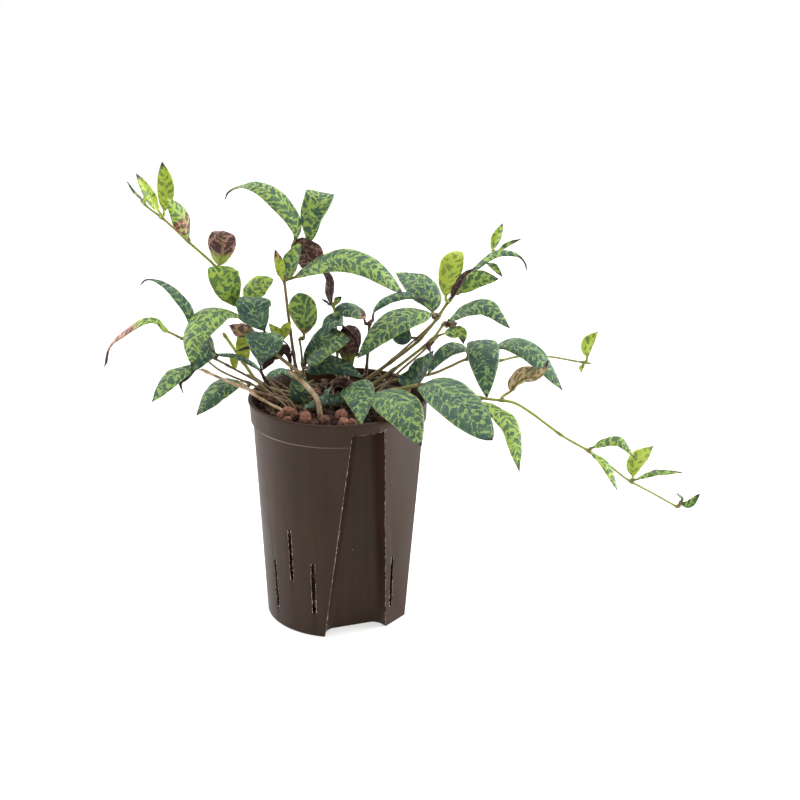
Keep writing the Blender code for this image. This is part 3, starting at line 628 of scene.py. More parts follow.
def smooth_route(points, spacing):
    """Points at an even spacing along a smooth curve through the given ones."""
    ends = [points[0] * 2 - points[1], *points, points[-1] * 2 - points[-2]]
    dense = []
    for a, b, c, d in zip(ends, ends[1:], ends[2:], ends[3:]):
        for step in range(12):
            t = step / 12
            bend = (2 * a - 5 * b + 4 * c - d) * t ** 2 + (3 * b - a - 3 * c + d) * t ** 3
            dense.append(0.5 * (2 * b + (c - a) * t + bend))
    dense.append(points[-1])
    lengths = [0.0]
    for a, b in zip(dense, dense[1:]):
        lengths.append(lengths[-1] + (b - a).length)
    count = max(2, round(lengths[-1] / spacing))
    route, j = [], 0
    for i in range(count + 1):
        target = lengths[-1] * i / count
        while j < len(lengths) - 2 and lengths[j + 1] < target:
            j += 1
        share = (target - lengths[j]) / max(lengths[j + 1] - lengths[j], 1e-9)
        route.append(dense[j].lerp(dense[j + 1], min(max(share, 0.0), 1.0)))
    return route


def seat_on(stem, near, toward):
    """Where something grows from a stem towards a point: its place inside the bark, and the direction."""
    route, radius = stem
    best = None
    for i, (a, b) in enumerate(zip(route, route[1:])):
        along = b - a
        share = min(max((near - a).dot(along) / along.length_squared, 0.0), 1.0)
        foot = a + along * share
        distance = (near - foot).length
        if best is None or distance < best[0]:
            best = (distance, foot, along.normalized(), (i + share) / (len(route) - 1))
    _, foot, tangent, share = best
    away = toward - foot
    away -= tangent * away.dot(tangent)
    away.normalize()
    return foot, away, radius[0] + (radius[1] - radius[0]) * share


def tube(name, route, radii, sides):
    """A closed tube along a route, thicker or thinner at each of its points."""
    curve = bpy.data.curves.new(name, "CURVE")
    curve.dimensions = "3D"
    curve.bevel_depth = MM
    curve.bevel_resolution = sides // 4
    curve.use_fill_caps = True
    spline = curve.splines.new("POLY")
    spline.points.add(len(route) - 1)
    for point, place, radius in zip(spline.points, route, radii):
        point.co = (*(place * MM), 1.0)
        point.radius = radius
    made = bpy.data.objects.new(name, curve)
    bpy.context.scene.collection.objects.link(made)
    bpy.ops.object.select_all(action="DESELECT")
    made.select_set(True)
    bpy.context.view_layer.objects.active = made
    bpy.ops.object.convert(target="MESH")
    made = bpy.context.object
    bpy.ops.object.mode_set(mode="EDIT")
    bpy.ops.mesh.select_all(action="SELECT")
    bpy.ops.mesh.remove_doubles(threshold=0.02 * MM)
    bpy.ops.mesh.normals_make_consistent(inside=False)
    bpy.ops.object.mode_set(mode="OBJECT")
    return made


def mark(piece, name, values):
    """Stores a colour at each point of a piece, for its material to read."""
    layer = piece.data.attributes.new(name, "FLOAT_COLOR", "POINT")
    layer.data.foreach_set("color", [channel for value in values for channel in value])


def plan_stem(name, foot_radius, tip_radius, points, on=None):
    """Settles a stem's route, so that leaves can find their place on it."""
    points = [Vector(p) for p in points]
    if on:
        foot, away, radius = seat_on(stems[on], points[0], points[1])
        points[0] = foot + away * (radius + STALK_GAP + STEM_RISE)
    else:
        foot, away = points[0], Vector((0, 0, 1))
        points[0] = foot + away * STEM_RISE
        foot = foot - away * BED_DEPTH
    stems[name] = ([foot, *smooth_route(points, BARK_SPACING)], (foot_radius, tip_radius))
    stem_nodes[name] = []


def grow_bark(name, pale=0.0, red=0.3, green=0.5, joints=()):
    """The stem itself, swollen where leaves grow and at its bare joints, given as shares of its length."""
    route, (foot_radius, tip_radius) = stems[name]
    last = len(route) - 1
    swellings = stem_nodes[name] + [route[round(share * last)] for share in joints]
    radii = []
    for i, place in enumerate(route):
        radius = STEM_SLIMNESS * (foot_radius + (tip_radius - foot_radius) * i / last)
        radius *= 1 + 0.09 * noise.noise(place * 0.12) + 0.05 * noise.noise(place * 0.5)
        for swelling in swellings:
            radius += SWELLING * math.exp(-((place - swelling).length / 2.4) ** 2)
        radii.append(radius)
    radii[-1] *= 0.75
    bark = tube(name + "_bark", route, radii, 12)
    tones = []
    for vert in bark.data.vertices:
        place = vert.co / MM
        i = min(range(0, last + 1, 2), key=lambda k: (route[k] - place).length_squared)
        share = i / last
        scar = max([math.exp(-((place - s).length / 2.2) ** 2) for s in swellings], default=0.0)
        tones.append((share * green, red, pale, scar))
    mark(bark, "bark_tone", tones)
    bpy.ops.object.shade_smooth()
    bark.data.materials.clear()
    bark.data.materials.append(stem_bark)
    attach(bark, "root")
    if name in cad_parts:
        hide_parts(name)


# Young bark: a smooth olive to brown skin with fine lengthwise ribs, purple-brown at the joints.
# The ribs are drawn 0.5 mm wide.
stem_bark, shader = new_material("young and dry stem bark")
coordinates = add_node(stem_bark, "TexCoord")
tone = add_node(stem_bark, "Attribute", attribute_name="bark_tone")
parts_of_tone = add_node(stem_bark, "SeparateColor", {"Color": tone})
blotch = add_node(stem_bark, "TexNoise", {"Vector": coordinates.outputs["Object"], "Scale": 130.0,
                  "Detail": 4.0})
fine = add_node(stem_bark, "TexNoise", {"Vector": coordinates.outputs["Object"], "Scale": 900.0,
                "Detail": 3.0})
green_now = add_node(stem_bark, "MapRange", {"Value": parts_of_tone.outputs[0], "From Min": 0.1,
                     "From Max": 0.8})
olive = add_node(stem_bark, "Mix", {0: green_now, 6: "#8c7853", 7: "#929c42"}, data_type="RGBA")
red_share = add_node(stem_bark, "Math", {0: parts_of_tone.outputs[1], 1: blotch}, operation="MULTIPLY")
red_now = add_node(stem_bark, "MapRange", {"Value": red_share, "From Min": 0.08, "From Max": 0.4})
reddish = add_node(stem_bark, "Mix", {0: red_now, 6: olive, 7: "#664c38"}, data_type="RGBA")
scar_now = add_node(stem_bark, "Math", {0: tone.outputs["Alpha"], 1: 0.75}, operation="MULTIPLY")
scarred = add_node(stem_bark, "Mix", {0: scar_now, 6: reddish, 7: "#43301f"}, data_type="RGBA")
dry = add_node(stem_bark, "ValToRGB", {"Fac": blotch}, stops=[(0.3, "#7d6245"), (0.5, "#b59a76"),
               (0.68, "#d2bc9a")])
dried = add_node(stem_bark, "Mix", {0: parts_of_tone.outputs[2], 6: scarred, 7: dry}, data_type="RGBA")
speckle = add_node(stem_bark, "MapRange", {"Value": fine, "From Min": 0.3, "From Max": 0.7, "To Min": 0.72,
                   "To Max": 1.18})
speckled = add_node(stem_bark, "Mix", {0: 1.0, 6: dried, 7: speckle}, data_type="RGBA", blend_type="MULTIPLY")
ribs = add_node(stem_bark, "Bump", {"Height": fine, "Strength": 0.5, "Distance": 0.0004})
set_inputs(stem_bark, shader, {"Base Color": speckled, "Normal": ribs, "Roughness": 0.55})


# Leaves: thick waxy blades on short stalks, dark blue-green above with a marbling of yellow-green along the
# side veins, and maroon marbled with tan below. Young ones are nearly all yellow-green and old ones go brown.
BLADE_ROWS = 40                            # of faces, along the blade
BLADE_COLUMNS = 14                         # of faces, across it
BLADE_THICKNESS = 0.6
SPINE_SPACING = 0.5                        # between the points of a leaf's middle line
SPINE_RINGS = 60                           # where that line's direction is known
RIB_STEPS = 46                             # of the stalk and midrib
RIB_REACH = 0.9                            # share of the leaf's length where the midrib ends
VEIN_SPACING = 7.0                         # between the side veins that quilt a blade
QUILT_HEIGHT = 0.16
GROOVE_DEPTH = 0.45                        # over the midrib
MARGIN_DROP = 0.5                          # of the rounded edge
ROLL_ANGLE = 2.6                           # from the middle of a rolled tip to its margin, in radians
chance = random.Random(23)


def blend_between(list_of_places, share):
    """A place at a share of an evenly spaced list."""
    at = min(max(share, 0.0), 1.0) * (len(list_of_places) - 1)
    i = min(int(at), len(list_of_places) - 2)
    return list_of_places[i].lerp(list_of_places[i + 1], at - i)


def bump_between(share, start, end):
    """A smooth rise from 0 to 1 between start and end."""
    t = min(max((share - start) / (end - start), 0.0), 1.0)
    return t * t * (3 - 2 * t)


def grow_leaf(name, stem, width, stalk, face, points, fold=0.45, twist=0.0, wave=0.35, rise=0.75, fall=0.95,
              young=0.3, brown=0.0, brown_from=0.2, brown_to=1.0, dark_tip=0.12, rolled_tip=0.0):
    """A blade laid along its midrib, with the stalk and the raised midrib under it.

    stalk is its length and face the way that the middle of the blade looks. fold is how far the cross-section
    is curled up (down when it is less than 0), in radians to the margin. twist turns the blade from base to
    tip, in degrees, and wave ripples the margin, in mm. rise and fall shape the outline towards the base and
    the tip. young runs from 0, dark blue-green, to 1, yellow-green. brown is how far the blade has withered
    between the shares brown_from and brown_to of its length, and dark_tip is the share that is black at the
    tip. rolled_tip is the half width of a tip that has dried and rolled up.
    """
    points = [Vector(p) for p in points]
    foot, away, radius = seat_on(stems[stem], points[0], points[1])
    stem_nodes[stem].append(foot)
    base = radius + STALK_GAP
    spine = smooth_route([foot + away * base, foot + away * (base + 2), *points[1:]], SPINE_SPACING)
    length = SPINE_SPACING * (len(spine) - 1)
    stalk_share = min(stalk / length, 0.4)
    face = Vector(face)

    rings = SPINE_RINGS
    places = [blend_between(spine, i / rings) for i in range(rings + 1)]
    tangents = [(blend_between(spine, (i + 2) / rings) - blend_between(spine, (i - 2) / rings)).normalized()
                for i in range(rings + 1)]
    normals = [None] * (rings + 1)
    middle = rings // 2
    normals[middle] = (face - tangents[middle] * face.dot(tangents[middle])).normalized()
    for order, step in ((range(middle + 1, rings + 1), -1), (range(middle - 1, -1, -1), 1)):
        for i in order:
            before = normals[i + step]
            normals[i] = (before - tangents[i] * before.dot(tangents[i])).normalized()
    for i, tangent in enumerate(tangents):
        turn = math.radians(twist) * (i / rings - 0.5)
        normals[i] = Matrix.Rotation(turn, 3, tangent) @ normals[i]

    peak = rise / (rise + fall)
    highest = peak ** rise * (1 - peak) ** fall
    shift = chance.uniform(0, 9)
    phase = chance.uniform(0, math.tau)

    def half_width(u):
        outline = u ** rise * (1 - u) ** fall / highest if 0 < u < 1 else 0.0
        outline *= 1 + 0.03 * noise.noise(Vector((u * 7, shift, 0)))
        least = rolled_tip * (1 - 0.6 * bump_between(u, 0.94, 1.0)) if rolled_tip else 0.45
        return max(width / 2 * outline, 0.9 if u < 0.02 else least)

    bpy.ops.mesh.primitive_grid_add(x_subdivisions=BLADE_ROWS, y_subdivisions=BLADE_COLUMNS, size=2.0)
    blade = bpy.context.object
    blade.name = name + "_blade"
    mesh = blade.data
    flat, ages = [], []
    for vert in mesh.vertices:
        u, v = (vert.co.x + 1) / 2, vert.co.y
        share = stalk_share + (1 - stalk_share) * u
        place = blend_between(places, share)
        tangent = blend_between(tangents, share).normalized()
        normal = blend_between(normals, share).normalized()
        side = normal.cross(tangent).normalized()
        half = half_width(u)
        curl = fold * (0.55 + 0.45 * math.sin(math.pi * u)) * (1 - 0.35 * u)
        across = half * (math.sin(curl * v) / math.sin(curl) if abs(curl) > 0.01 else v)
        lift = half * (1 - math.cos(curl * v)) / math.sin(curl) if abs(curl) > 0.01 else 0.0
        if rolled_tip:
            roll, pipe = bump_between(u, 0.68, 0.9), half / ROLL_ANGLE
            across += (pipe * math.sin(ROLL_ANGLE * v) - across) * roll
            lift += (math.copysign(pipe * (1 - math.cos(ROLL_ANGLE * v)), fold) - lift) * roll
        long_shift, short_shift = (1.7, 2.3) if v > 0 else (0, 0)
        ripple = math.sin(u * 15 + phase + long_shift) + 0.6 * math.sin(u * 26 + phase * 2 - short_shift)
        lift += wave * ripple * abs(v) ** 2.5 * min(half / 6, 1)
        along = share * length
        quilt = math.cos(math.tau * (along - abs(v) * half * 0.8) / VEIN_SPACING)
        lift += QUILT_HEIGHT * quilt * math.sin(math.pi * min(abs(v), 1)) * min(half / 8, 1)
        lift -= GROOVE_DEPTH * math.exp(-(v * half / 0.9) ** 2) * (1 - u) * min(half / 5, 1)
        lift -= MARGIN_DROP * bump_between(abs(v), 0.86, 1.0) * min(half / 9, 1)
        vert.co = (place + side * across + normal * lift) * MM
        flat.append((along / 100 + shift, v * half / 100))
        patch = brown * bump_between(u, brown_from - 0.15, brown_from + 0.1)
        patch *= 1 - bump_between(u, brown_to - 0.1, brown_to + 0.15)
        tip = bump_between(u, 1 - dark_tip, 1 - dark_tip * 0.35) if dark_tip else 0.0
        margin = bump_between(abs(v), 0.88, 0.97) * min(half / 4, 1)
        ages.append((young, patch, tip, margin))
    uv = mesh.uv_layers[0]
    uv.name = "leaf_plan"
    for loop in mesh.loops:
        uv.data[loop.index].uv = flat[loop.vertex_index]
    mark(blade, "leaf_age", ages)
    for material in (marbled_leaf, leaf_underside, leaf_stalk):
        mesh.materials.append(material)
    thick = blade.modifiers.new("thickness", "SOLIDIFY")
    thick.thickness = BLADE_THICKNESS * MM
    thick.offset = -1.0
    thick.material_offset = 1
    thick.material_offset_rim = 1
    bpy.context.view_layer.objects.active = blade
    bpy.ops.object.modifier_apply(modifier=thick.name)

    # the stalk, which goes on under the blade as its raised midrib
    rib_route = [foot + away * (radius * 0.4)] + [
        blend_between(places, i / RIB_STEPS * RIB_REACH) for i in range(RIB_STEPS + 1)]
    radii = []
    for i in range(len(rib_route)):
        share = max(i - 1, 0) / RIB_STEPS * RIB_REACH
        under = bump_between(share, stalk_share * 0.6, stalk_share + 0.08)
        thin = 1 - (share - stalk_share) / (RIB_REACH - stalk_share) if share > stalk_share else 1.0
        radius_here = (0.95 + 0.012 * width) * (0.24 + 0.76 * thin ** 1.3) * (1 - 0.35 * under)
        radius_here += 0.5 * math.exp(-(share * length / 2.0) ** 2)
        radii.append(radius_here)
        if i:
            downwards = blend_between(normals, share).normalized() * under
            rib_route[i] = rib_route[i] - downwards * (radius_here * 0.7 + BLADE_THICKNESS + 0.3)
    rib = tube(name + "_stalk", rib_route, radii, 8)
    mark(rib, "leaf_age", [(young, brown * 0.3, 0.0, 0.0)] * len(rib.data.vertices))
    for material in (marbled_leaf, leaf_underside, leaf_stalk):
        rib.data.materials.append(material)
    for polygon in rib.data.polygons:
        polygon.material_index = 2
    join_pieces([blade, rib])
    bpy.ops.object.shade_smooth()
    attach(blade, "root")
    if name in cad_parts:
        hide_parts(name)


def marbling(material):
    """The pale squiggles of a leaf, 1 to 2 mm wide around dark blotches drawn out along the side veins.

    Gives the leaf's plan, its age marks, the mark of its margin, the squiggles and the noise in them.
    """
    plan = add_node(material, "UVMap", uv_map="leaf_plan")
    age = add_node(material, "Attribute", attribute_name="leaf_age")
    ages = add_node(material, "SeparateColor", {"Color": age})
    axes = add_node(material, "SeparateXYZ", {"Vector": plan})
    from_rib = add_node(material, "Math", {0: axes.outputs["Y"]}, operation="ABSOLUTE")
    slant = add_node(material, "Math", {0: from_rib, 1: -0.75, 2: axes.outputs["X"]},
                     operation="MULTIPLY_ADD")
    out_share = add_node(material, "Math", {0: axes.outputs["Y"], 1: 0.72}, operation="MULTIPLY")
    slanted = add_node(material, "CombineXYZ", {"X": slant, "Y": out_share})
    wander = add_node(material, "TexNoise", {"Vector": plan, "Scale": 26.0, "Detail": 2.0})
    offset = add_node(material, "VectorMath", {0: wander.outputs["Color"], 1: (0.5, 0.5, 0.5)},
                      operation="SUBTRACT")
    scaled = add_node(material, "VectorMath", {0: offset, "Scale": 0.07}, operation="SCALE")
    moved = add_node(material, "VectorMath", {0: slanted, 1: scaled}, operation="ADD")
    cells = add_node(material, "TexVoronoi", {"Vector": moved, "Scale": 17.0}, feature="DISTANCE_TO_EDGE",
                     voronoi_dimensions="2D")
    breaks = add_node(material, "TexNoise", {"Vector": moved, "Scale": 24.0, "Detail": 2.0})
    ragged = add_node(material, "Math", {0: breaks, 1: 0.7, 2: cells}, operation="MULTIPLY_ADD")
    by_age = add_node(material, "Math", {0: ages.outputs[0], 1: -0.2, 2: ragged}, operation="MULTIPLY_ADD")
    lines = add_node(material, "MapRange", {"Value": by_age, "From Min": 0.45, "From Max": 0.33,
                     "To Min": 0.0, "To Max": 1.0}, interpolation_type="SMOOTHSTEP")
    return plan, ages, age.outputs["Alpha"], lines, breaks


# Upper face: waxy, so it takes a soft grey-blue shine. The marbling and a thin yellow-green margin are in the
# skin.
marbled_leaf, shader = new_material("waxy marbled upper leaf skin")
plan, ages_split, margin_mark, lines, breaks = marbling(marbled_leaf)
dark_skin = add_node(marbled_leaf, "ValToRGB", {"Fac": ages_split.outputs[0]}, stops=[(0.0, "#2f4b45"),
                     (0.35, "#345246"), (0.7, "#4b6f38"), (1.0, "#869c35")])
line_skin = add_node(marbled_leaf, "ValToRGB", {"Fac": ages_split.outputs[0]}, stops=[(0.0, "#7b9b66"),
                     (0.35, "#92ad57"), (0.7, "#a1ba40"), (1.0, "#b8c64a")])
cloud = add_node(marbled_leaf, "TexNoise", {"Vector": plan, "Scale": 9.0, "Detail": 3.0})
soft = add_node(marbled_leaf, "MapRange", {"Value": cloud, "From Min": 0.35, "From Max": 0.65, "To Min": 0.0,
                "To Max": 0.2})
strength = add_node(marbled_leaf, "Math", {0: lines, 1: soft}, operation="MAXIMUM")
skin_colour = add_node(marbled_leaf, "Mix", {0: strength, 6: dark_skin, 7: line_skin}, data_type="RGBA")
margin_share = add_node(marbled_leaf, "Math", {0: margin_mark, 1: 0.45}, operation="MULTIPLY")
edged = add_node(marbled_leaf, "Mix", {0: margin_share, 6: skin_colour, 7: line_skin}, data_type="RGBA")
old_skin = add_node(marbled_leaf, "Mix", {0: lines, 6: "#5f3026", 7: "#b5806a"}, data_type="RGBA")
old_reach = add_node(marbled_leaf, "Math", {0: ages_split.outputs[1], 1: breaks}, operation="MULTIPLY")
old_now = add_node(marbled_leaf, "MapRange", {"Value": old_reach, "From Min": 0.18, "From Max": 0.42})
aged = add_node(marbled_leaf, "Mix", {0: old_now, 6: edged, 7: old_skin}, data_type="RGBA")
specks = add_node(marbled_leaf, "TexVoronoi", {"Vector": plan, "Scale": 36.0}, voronoi_dimensions="2D")
speck_spot = add_node(marbled_leaf, "MapRange", {"Value": specks, "From Min": 0.07, "From Max": 0.15,
                      "To Min": 0.5, "To Max": 0.0})
speck_rare = add_node(marbled_leaf, "Math", {0: specks.outputs["Color"], 1: 0.72}, operation="GREATER_THAN")
speck_now = add_node(marbled_leaf, "Math", {0: speck_spot, 1: speck_rare}, operation="MULTIPLY")
specked = add_node(marbled_leaf, "Mix", {0: speck_now, 6: aged, 7: "#c3d6bd"}, data_type="RGBA")
tipped = add_node(marbled_leaf, "Mix", {0: ages_split.outputs[2], 6: specked, 7: "#2a1a1e"}, data_type="RGBA")
wax = add_node(marbled_leaf, "TexNoise", {"Vector": plan, "Scale": 160.0, "Detail": 2.0})
wax_relief = add_node(marbled_leaf, "Bump", {"Height": wax, "Strength": 0.35, "Distance": 0.0004})
vein_relief = add_node(marbled_leaf, "Bump", {"Height": lines, "Strength": 0.3, "Distance": 0.0006,
                       "Normal": wax_relief}, invert=True)
set_inputs(marbled_leaf, shader, {"Base Color": tipped, "Normal": vein_relief, "Roughness": 0.4, "IOR": 1.45,
           "Specular IOR Level": 0.36, "Sheen Weight": 0.03, "Sheen Tint": "#c9dccb"})

# Lower face: matt maroon with tan lines between its blotches, greener on young leaves and where it fades.
leaf_underside, shader = new_material("matt maroon leaf underside")
_, ages_split, _, lines, _ = marbling(leaf_underside)
blotch_skin = add_node(leaf_underside, "ValToRGB", {"Fac": ages_split.outputs[0]}, stops=[(0.0, "#2c1413"),
                       (0.5, "#45201a"), (0.8, "#5f5a24"), (1.0, "#7c8c34")])
line_below = add_node(leaf_underside, "ValToRGB", {"Fac": ages_split.outputs[0]}, stops=[(0.0, "#6b4838"),
                      (0.5, "#a37a68"), (0.8, "#9da045"), (1.0, "#a9b84e")])
below = add_node(leaf_underside, "Mix", {0: lines, 6: blotch_skin, 7: line_below}, data_type="RGBA")
faded_share = add_node(leaf_underside, "Math", {0: ages_split.outputs[1], 1: 0.9}, operation="MULTIPLY")
faded = add_node(leaf_underside, "Mix", {0: faded_share, 6: below, 7: "#99ab40"}, data_type="RGBA")
below_tip = add_node(leaf_underside, "Mix", {0: ages_split.outputs[2], 6: faded, 7: "#2a1816"},
                     data_type="RGBA")
below_relief = add_node(leaf_underside, "Bump", {"Height": lines, "Strength": 0.4, "Distance": 0.0006})
set_inputs(leaf_underside, shader, {"Base Color": below_tip, "Normal": below_relief, "Roughness": 0.6})

# Stalk and midrib: smooth and fleshy, purple-brown on old leaves and green on young ones.
leaf_stalk, shader = new_material("fleshy leaf stalk")
coordinates = add_node(leaf_stalk, "TexCoord")
age = add_node(leaf_stalk, "Attribute", attribute_name="leaf_age")
ages_split = add_node(leaf_stalk, "SeparateColor", {"Color": age})
stalk_blotch = add_node(leaf_stalk, "TexNoise", {"Vector": coordinates.outputs["Object"], "Scale": 240.0})
stalk_age = add_node(leaf_stalk, "Math", {0: ages_split.outputs[0], 1: stalk_blotch}, operation="ADD")
stalk_tone = add_node(leaf_stalk, "MapRange", {"Value": stalk_age, "From Min": 0.4, "From Max": 1.5})
stalk_skin = add_node(leaf_stalk, "ValToRGB", {"Fac": stalk_tone}, stops=[(0.0, "#3f2a25"), (0.3, "#5a4030"),
                      (0.6, "#7c7a35"), (1.0, "#9fb548")])
set_inputs(leaf_stalk, shader, {"Base Color": stalk_skin, "Roughness": 0.5})


# Old cut stem: the thickest and oldest, bare and beige, leaning left to a cut end. A long young shoot grows
# out of it, with a green tip of small new leaves far out on the left.
plan_stem("old_cut_stem", 2.4, 2.1, (
    (-14, -26, 178.3), (-14, -27, 184), (-15, -25, 190), (-17, -22, 195), (-22, -17, 200),
    (-28, -12, 205), (-34, -8, 209), (-40, -4, 212)))
plan_stem("left_long_stem", 1.7, 1.0, (
    (-31, -9, 208), (-43, -3, 220), (-54, 1, 228), (-64, 5, 237), (-70, 8, 243), (-76, 10, 255),
    (-83, 12, 266), (-90, 13, 281), (-100, 16, 296), (-120, 22, 313), (-140, 29, 330),
    (-152, 33, 338), (-159, 36, 344)), on="old_cut_stem")
grow_leaf("left_tip_leaf_small", "left_long_stem", 2.6, 3, (5, -6, 6),
          ((-159, 36, 344), (-165, 41, 350), (-171, 45, 358)), young=0.3, dark_tip=0.5, wave=0.0)
grow_leaf("left_tip_leaf_bud", "left_long_stem", 1.8, 2, (5, -6, 6),
          ((-157, 35, 342), (-156, 33, 346), (-155, 31, 351)), young=0.95, dark_tip=0.0, wave=0.0)
grow_leaf("left_tip_leaf_left", "left_long_stem", 11, 7, (9, -7, 2),
          ((-143, 29, 332), (-148, 23, 347), (-159, 21, 369)), young=0.8, fold=0.6, dark_tip=0.18)
grow_leaf("left_tip_leaf_right", "left_long_stem", 14, 5, (2, -9, 3),
          ((-143, 29, 332), (-139, 38, 353), (-142, 45, 374)), young=0.85, fold=0.35, dark_tip=0.15)
grow_leaf("left_bulging_leaf", "left_long_stem", 19, 4, (6, -7, 5),
          ((-121, 22, 314), (-123, 14, 334), (-134, 9, 352)), young=0.6, fold=-0.5, brown=0.75,
          brown_from=0.1, brown_to=0.5, dark_tip=0.0)
grow_leaf("left_cupped_leaf", "left_long_stem", 22, 4, (0, 8, 5),
          ((-97, 15, 294), (-94, 9, 301), (-92, 4, 311), (-91, 7, 321), (-91, 14, 324)), young=0.4, fold=1.0,
          rise=0.55, fall=0.25, brown=1.0, brown_from=-0.3, brown_to=0.3, dark_tip=0.0)
grow_leaf("left_bright_leaf", "left_long_stem", 25, 5, (1, -8, 5),
          ((-81, 11, 259), (-83, 9, 266), (-87, 1, 280), (-91, 0, 293), (-92, 9, 297)), young=0.58, fold=0.3,
          rise=0.8, fall=0.35, dark_tip=0.0)
grow_leaf("left_bright_leaf_small", "left_long_stem", 20, 6, (-3, -8, 6),
          ((-79, 11, 261), (-73, 15, 270), (-64, 20, 279), (-53, 24, 282)), young=0.6, fold=-0.4, rise=0.6,
          fall=0.7, dark_tip=0.0)
grow_leaf("left_teal_leaf", "left_long_stem", 28, 8, (1, -8, 3),
          ((-62, 5, 234), (-59, 1, 244), (-62, -3, 253), (-66, -5, 263), (-67, -2, 270), (-68, 5, 272),
           (-69, 12, 269)), young=0.04, fold=0.1, rise=1.2, fall=0.8, dark_tip=0.0)
grow_leaf("left_arching_leaf", "left_long_stem", 30, 5, (-4, -7, 7),
          ((-74, 10, 251), (-84, -2, 262), (-98, -18, 267), (-111, -38, 253), (-112, -52, 232)),
          young=0.42, fold=-0.5, dark_tip=0.06)
grow_leaf("left_maroon_leaf", "left_long_stem", 14, 4, (-2, 6, 3),
          ((-68, 5, 242), (-74, -2, 244), (-81, -5, 248), (-87, -4, 251)), young=0.55, fold=0.5)
grow_bark("left_long_stem", green=1.6, red=0.25, joints=(0.32, 0.4))
grow_bark("old_cut_stem", pale=1.0, joints=(0.5, 0.93))

# Left bundle: four thinner stems that lean out over the left rim together, one of them dry and beige.
plan_stem("left_pale_stem", 1.5, 1.3, (
    (-27, -8, 178.3), (-33, -6, 182), (-41, -4, 185), (-57, -9, 193), (-72, -15, 200),
    (-91, -25, 212), (-107, -33, 223)))
plan_stem("left_olive_stem", 1.8, 1.5, (
    (-25, 18, 178.3), (-31, 20, 182), (-45, 22, 185), (-60, 22, 189), (-70, 23, 196),
    (-82, 21, 216), (-95, 18, 238)))
plan_stem("left_thin_stem", 1.2, 0.9, (
    (-30, 11, 178.3), (-36, 10, 184), (-46, 8, 188), (-60, 7, 195), (-71, 4, 203), (-88, -4, 216),
    (-105, -12, 229), (-116, -17, 239), (-123, -21, 245)))
plan_stem("left_low_stem", 1.2, 0.9, (
    (-31, 2, 178.3), (-37, 1, 184), (-46, 0, 188), (-58, -1, 193), (-72, -3, 201), (-86, -8, 209),
    (-96, -12, 216), (-104, -17, 225), (-109, -21, 232)))
grow_leaf("left_thin_arching_leaf", "left_thin_stem", 10, 8, (2, -5, 9),
          ((-117, -18, 240), (-115, -17, 258), (-119, -15, 270), (-131, -8, 282), (-145, 2, 287),
           (-155, 8, 286), (-160, 11, 280)), young=0.15, fold=-0.7, dark_tip=0.26, fall=1.5, rolled_tip=2.0)
grow_leaf("left_far_leaf", "left_thin_stem", 11, 14, (0, -3, 9),
          ((-123, -21, 245), (-136, -22, 253), (-142, -21, 260), (-153, -20, 260), (-169, -16, 250),
           (-184, -12, 235), (-189, -10, 218)), young=0.55, brown=1.0, brown_from=0.38, brown_to=1.2,
          fold=-0.5, dark_tip=0.24, rolled_tip=2.9)
grow_leaf("left_low_leaf", "left_low_stem", 17, 10, (-3, -7, 7),
          ((-108, -20, 230), (-118, -29, 224), (-129, -43, 221), (-144, -56, 204)), young=0.3, fold=-0.4,
          dark_tip=0.08)
grow_leaf("left_rim_leaf", "left_low_stem", 21, 6, (-3, -7, 8),
          ((-72, -2, 202), (-83, -4, 202), (-97, -12, 200), (-114, -24, 181)), young=0.15, fold=-0.5,
          dark_tip=0.08)
grow_leaf("left_folded_leaf", "left_thin_stem", 31, 20, (0, -8, 4),
          ((-60, 7, 194), (-63, 2, 209), (-63, -4, 219), (-61, -10, 230), (-59, -12, 238), (-58, -6, 244),
           (-57, 3, 243)), young=0.04, fold=0.15, rise=1.8, fall=0.7, dark_tip=0.0)
grow_leaf("left_hidden_leaf", "left_thin_stem", 20, 5, (4, -8, 4),
          ((-99, -6, 228), (-102, -16, 239), (-108, -28, 233), (-114, -34, 221)), young=0.12, fold=0.4,
          dark_tip=0.06)
grow_leaf("left_curled_tip", "left_low_stem", 4, 2, (2, -6, 6),
          ((-107, -19, 229), (-119, -26, 215), (-125, -28, 210), (-123, -30, 202)), young=0.0, dark_tip=0.6)
grow_leaf("left_narrow_leaf", "left_olive_stem", 9, 6, (0, -4, 9),
          ((-61, 22, 190), (-66, 8, 212), (-80, -4, 225), (-93, -9, 228), (-105, -13, 229)),
          young=0.05, fold=-0.8, dark_tip=0.1)
grow_leaf("left_yellow_leaf", "left_olive_stem", 11, 3, (1, -8, 3),
          ((-79, 21, 212), (-79, 14, 227), (-80, 12, 239)), young=1.0, fold=0.4, rise=0.6, fall=0.6,
          dark_tip=0.0)
grow_leaf("left_yellow_leaf_hanging", "left_olive_stem", 7, 3, (1, -8, 1),
          ((-82, 21, 216), (-86, 13, 219), (-85, 9, 208)), young=0.95, fold=0.8, dark_tip=0.0)
grow_leaf("bed_upright_leaf", "left_low_stem", 15, 3, (0, -9, 2),
          ((-36, 0, 184), (-32, -7, 186), (-32, -6, 197), (-32, 2, 208)), young=0.1, fold=0.4, rise=0.5,
          fall=0.45, dark_tip=0.0)
grow_bark("left_thin_stem", green=0.8, red=0.4, joints=(0.3, 0.62))
grow_bark("left_low_stem", green=0.7, red=0.5, joints=(0.5,))
grow_leaf("left_rim_leaf_grey", "left_olive_stem", 9, 5, (0, -3, 9),
          ((-32, 20, 183), (-36, 32, 193), (-47, 35, 200), (-57, 27, 199), (-63, 15, 193)), young=0.05,
          fold=-0.6, dark_tip=0.05)
grow_bark("left_olive_stem", green=0.9, red=0.15, joints=(0.35, 0.7, 0.97))
grow_bark("left_pale_stem", pale=0.9, joints=(0.35, 0.66, 0.95))

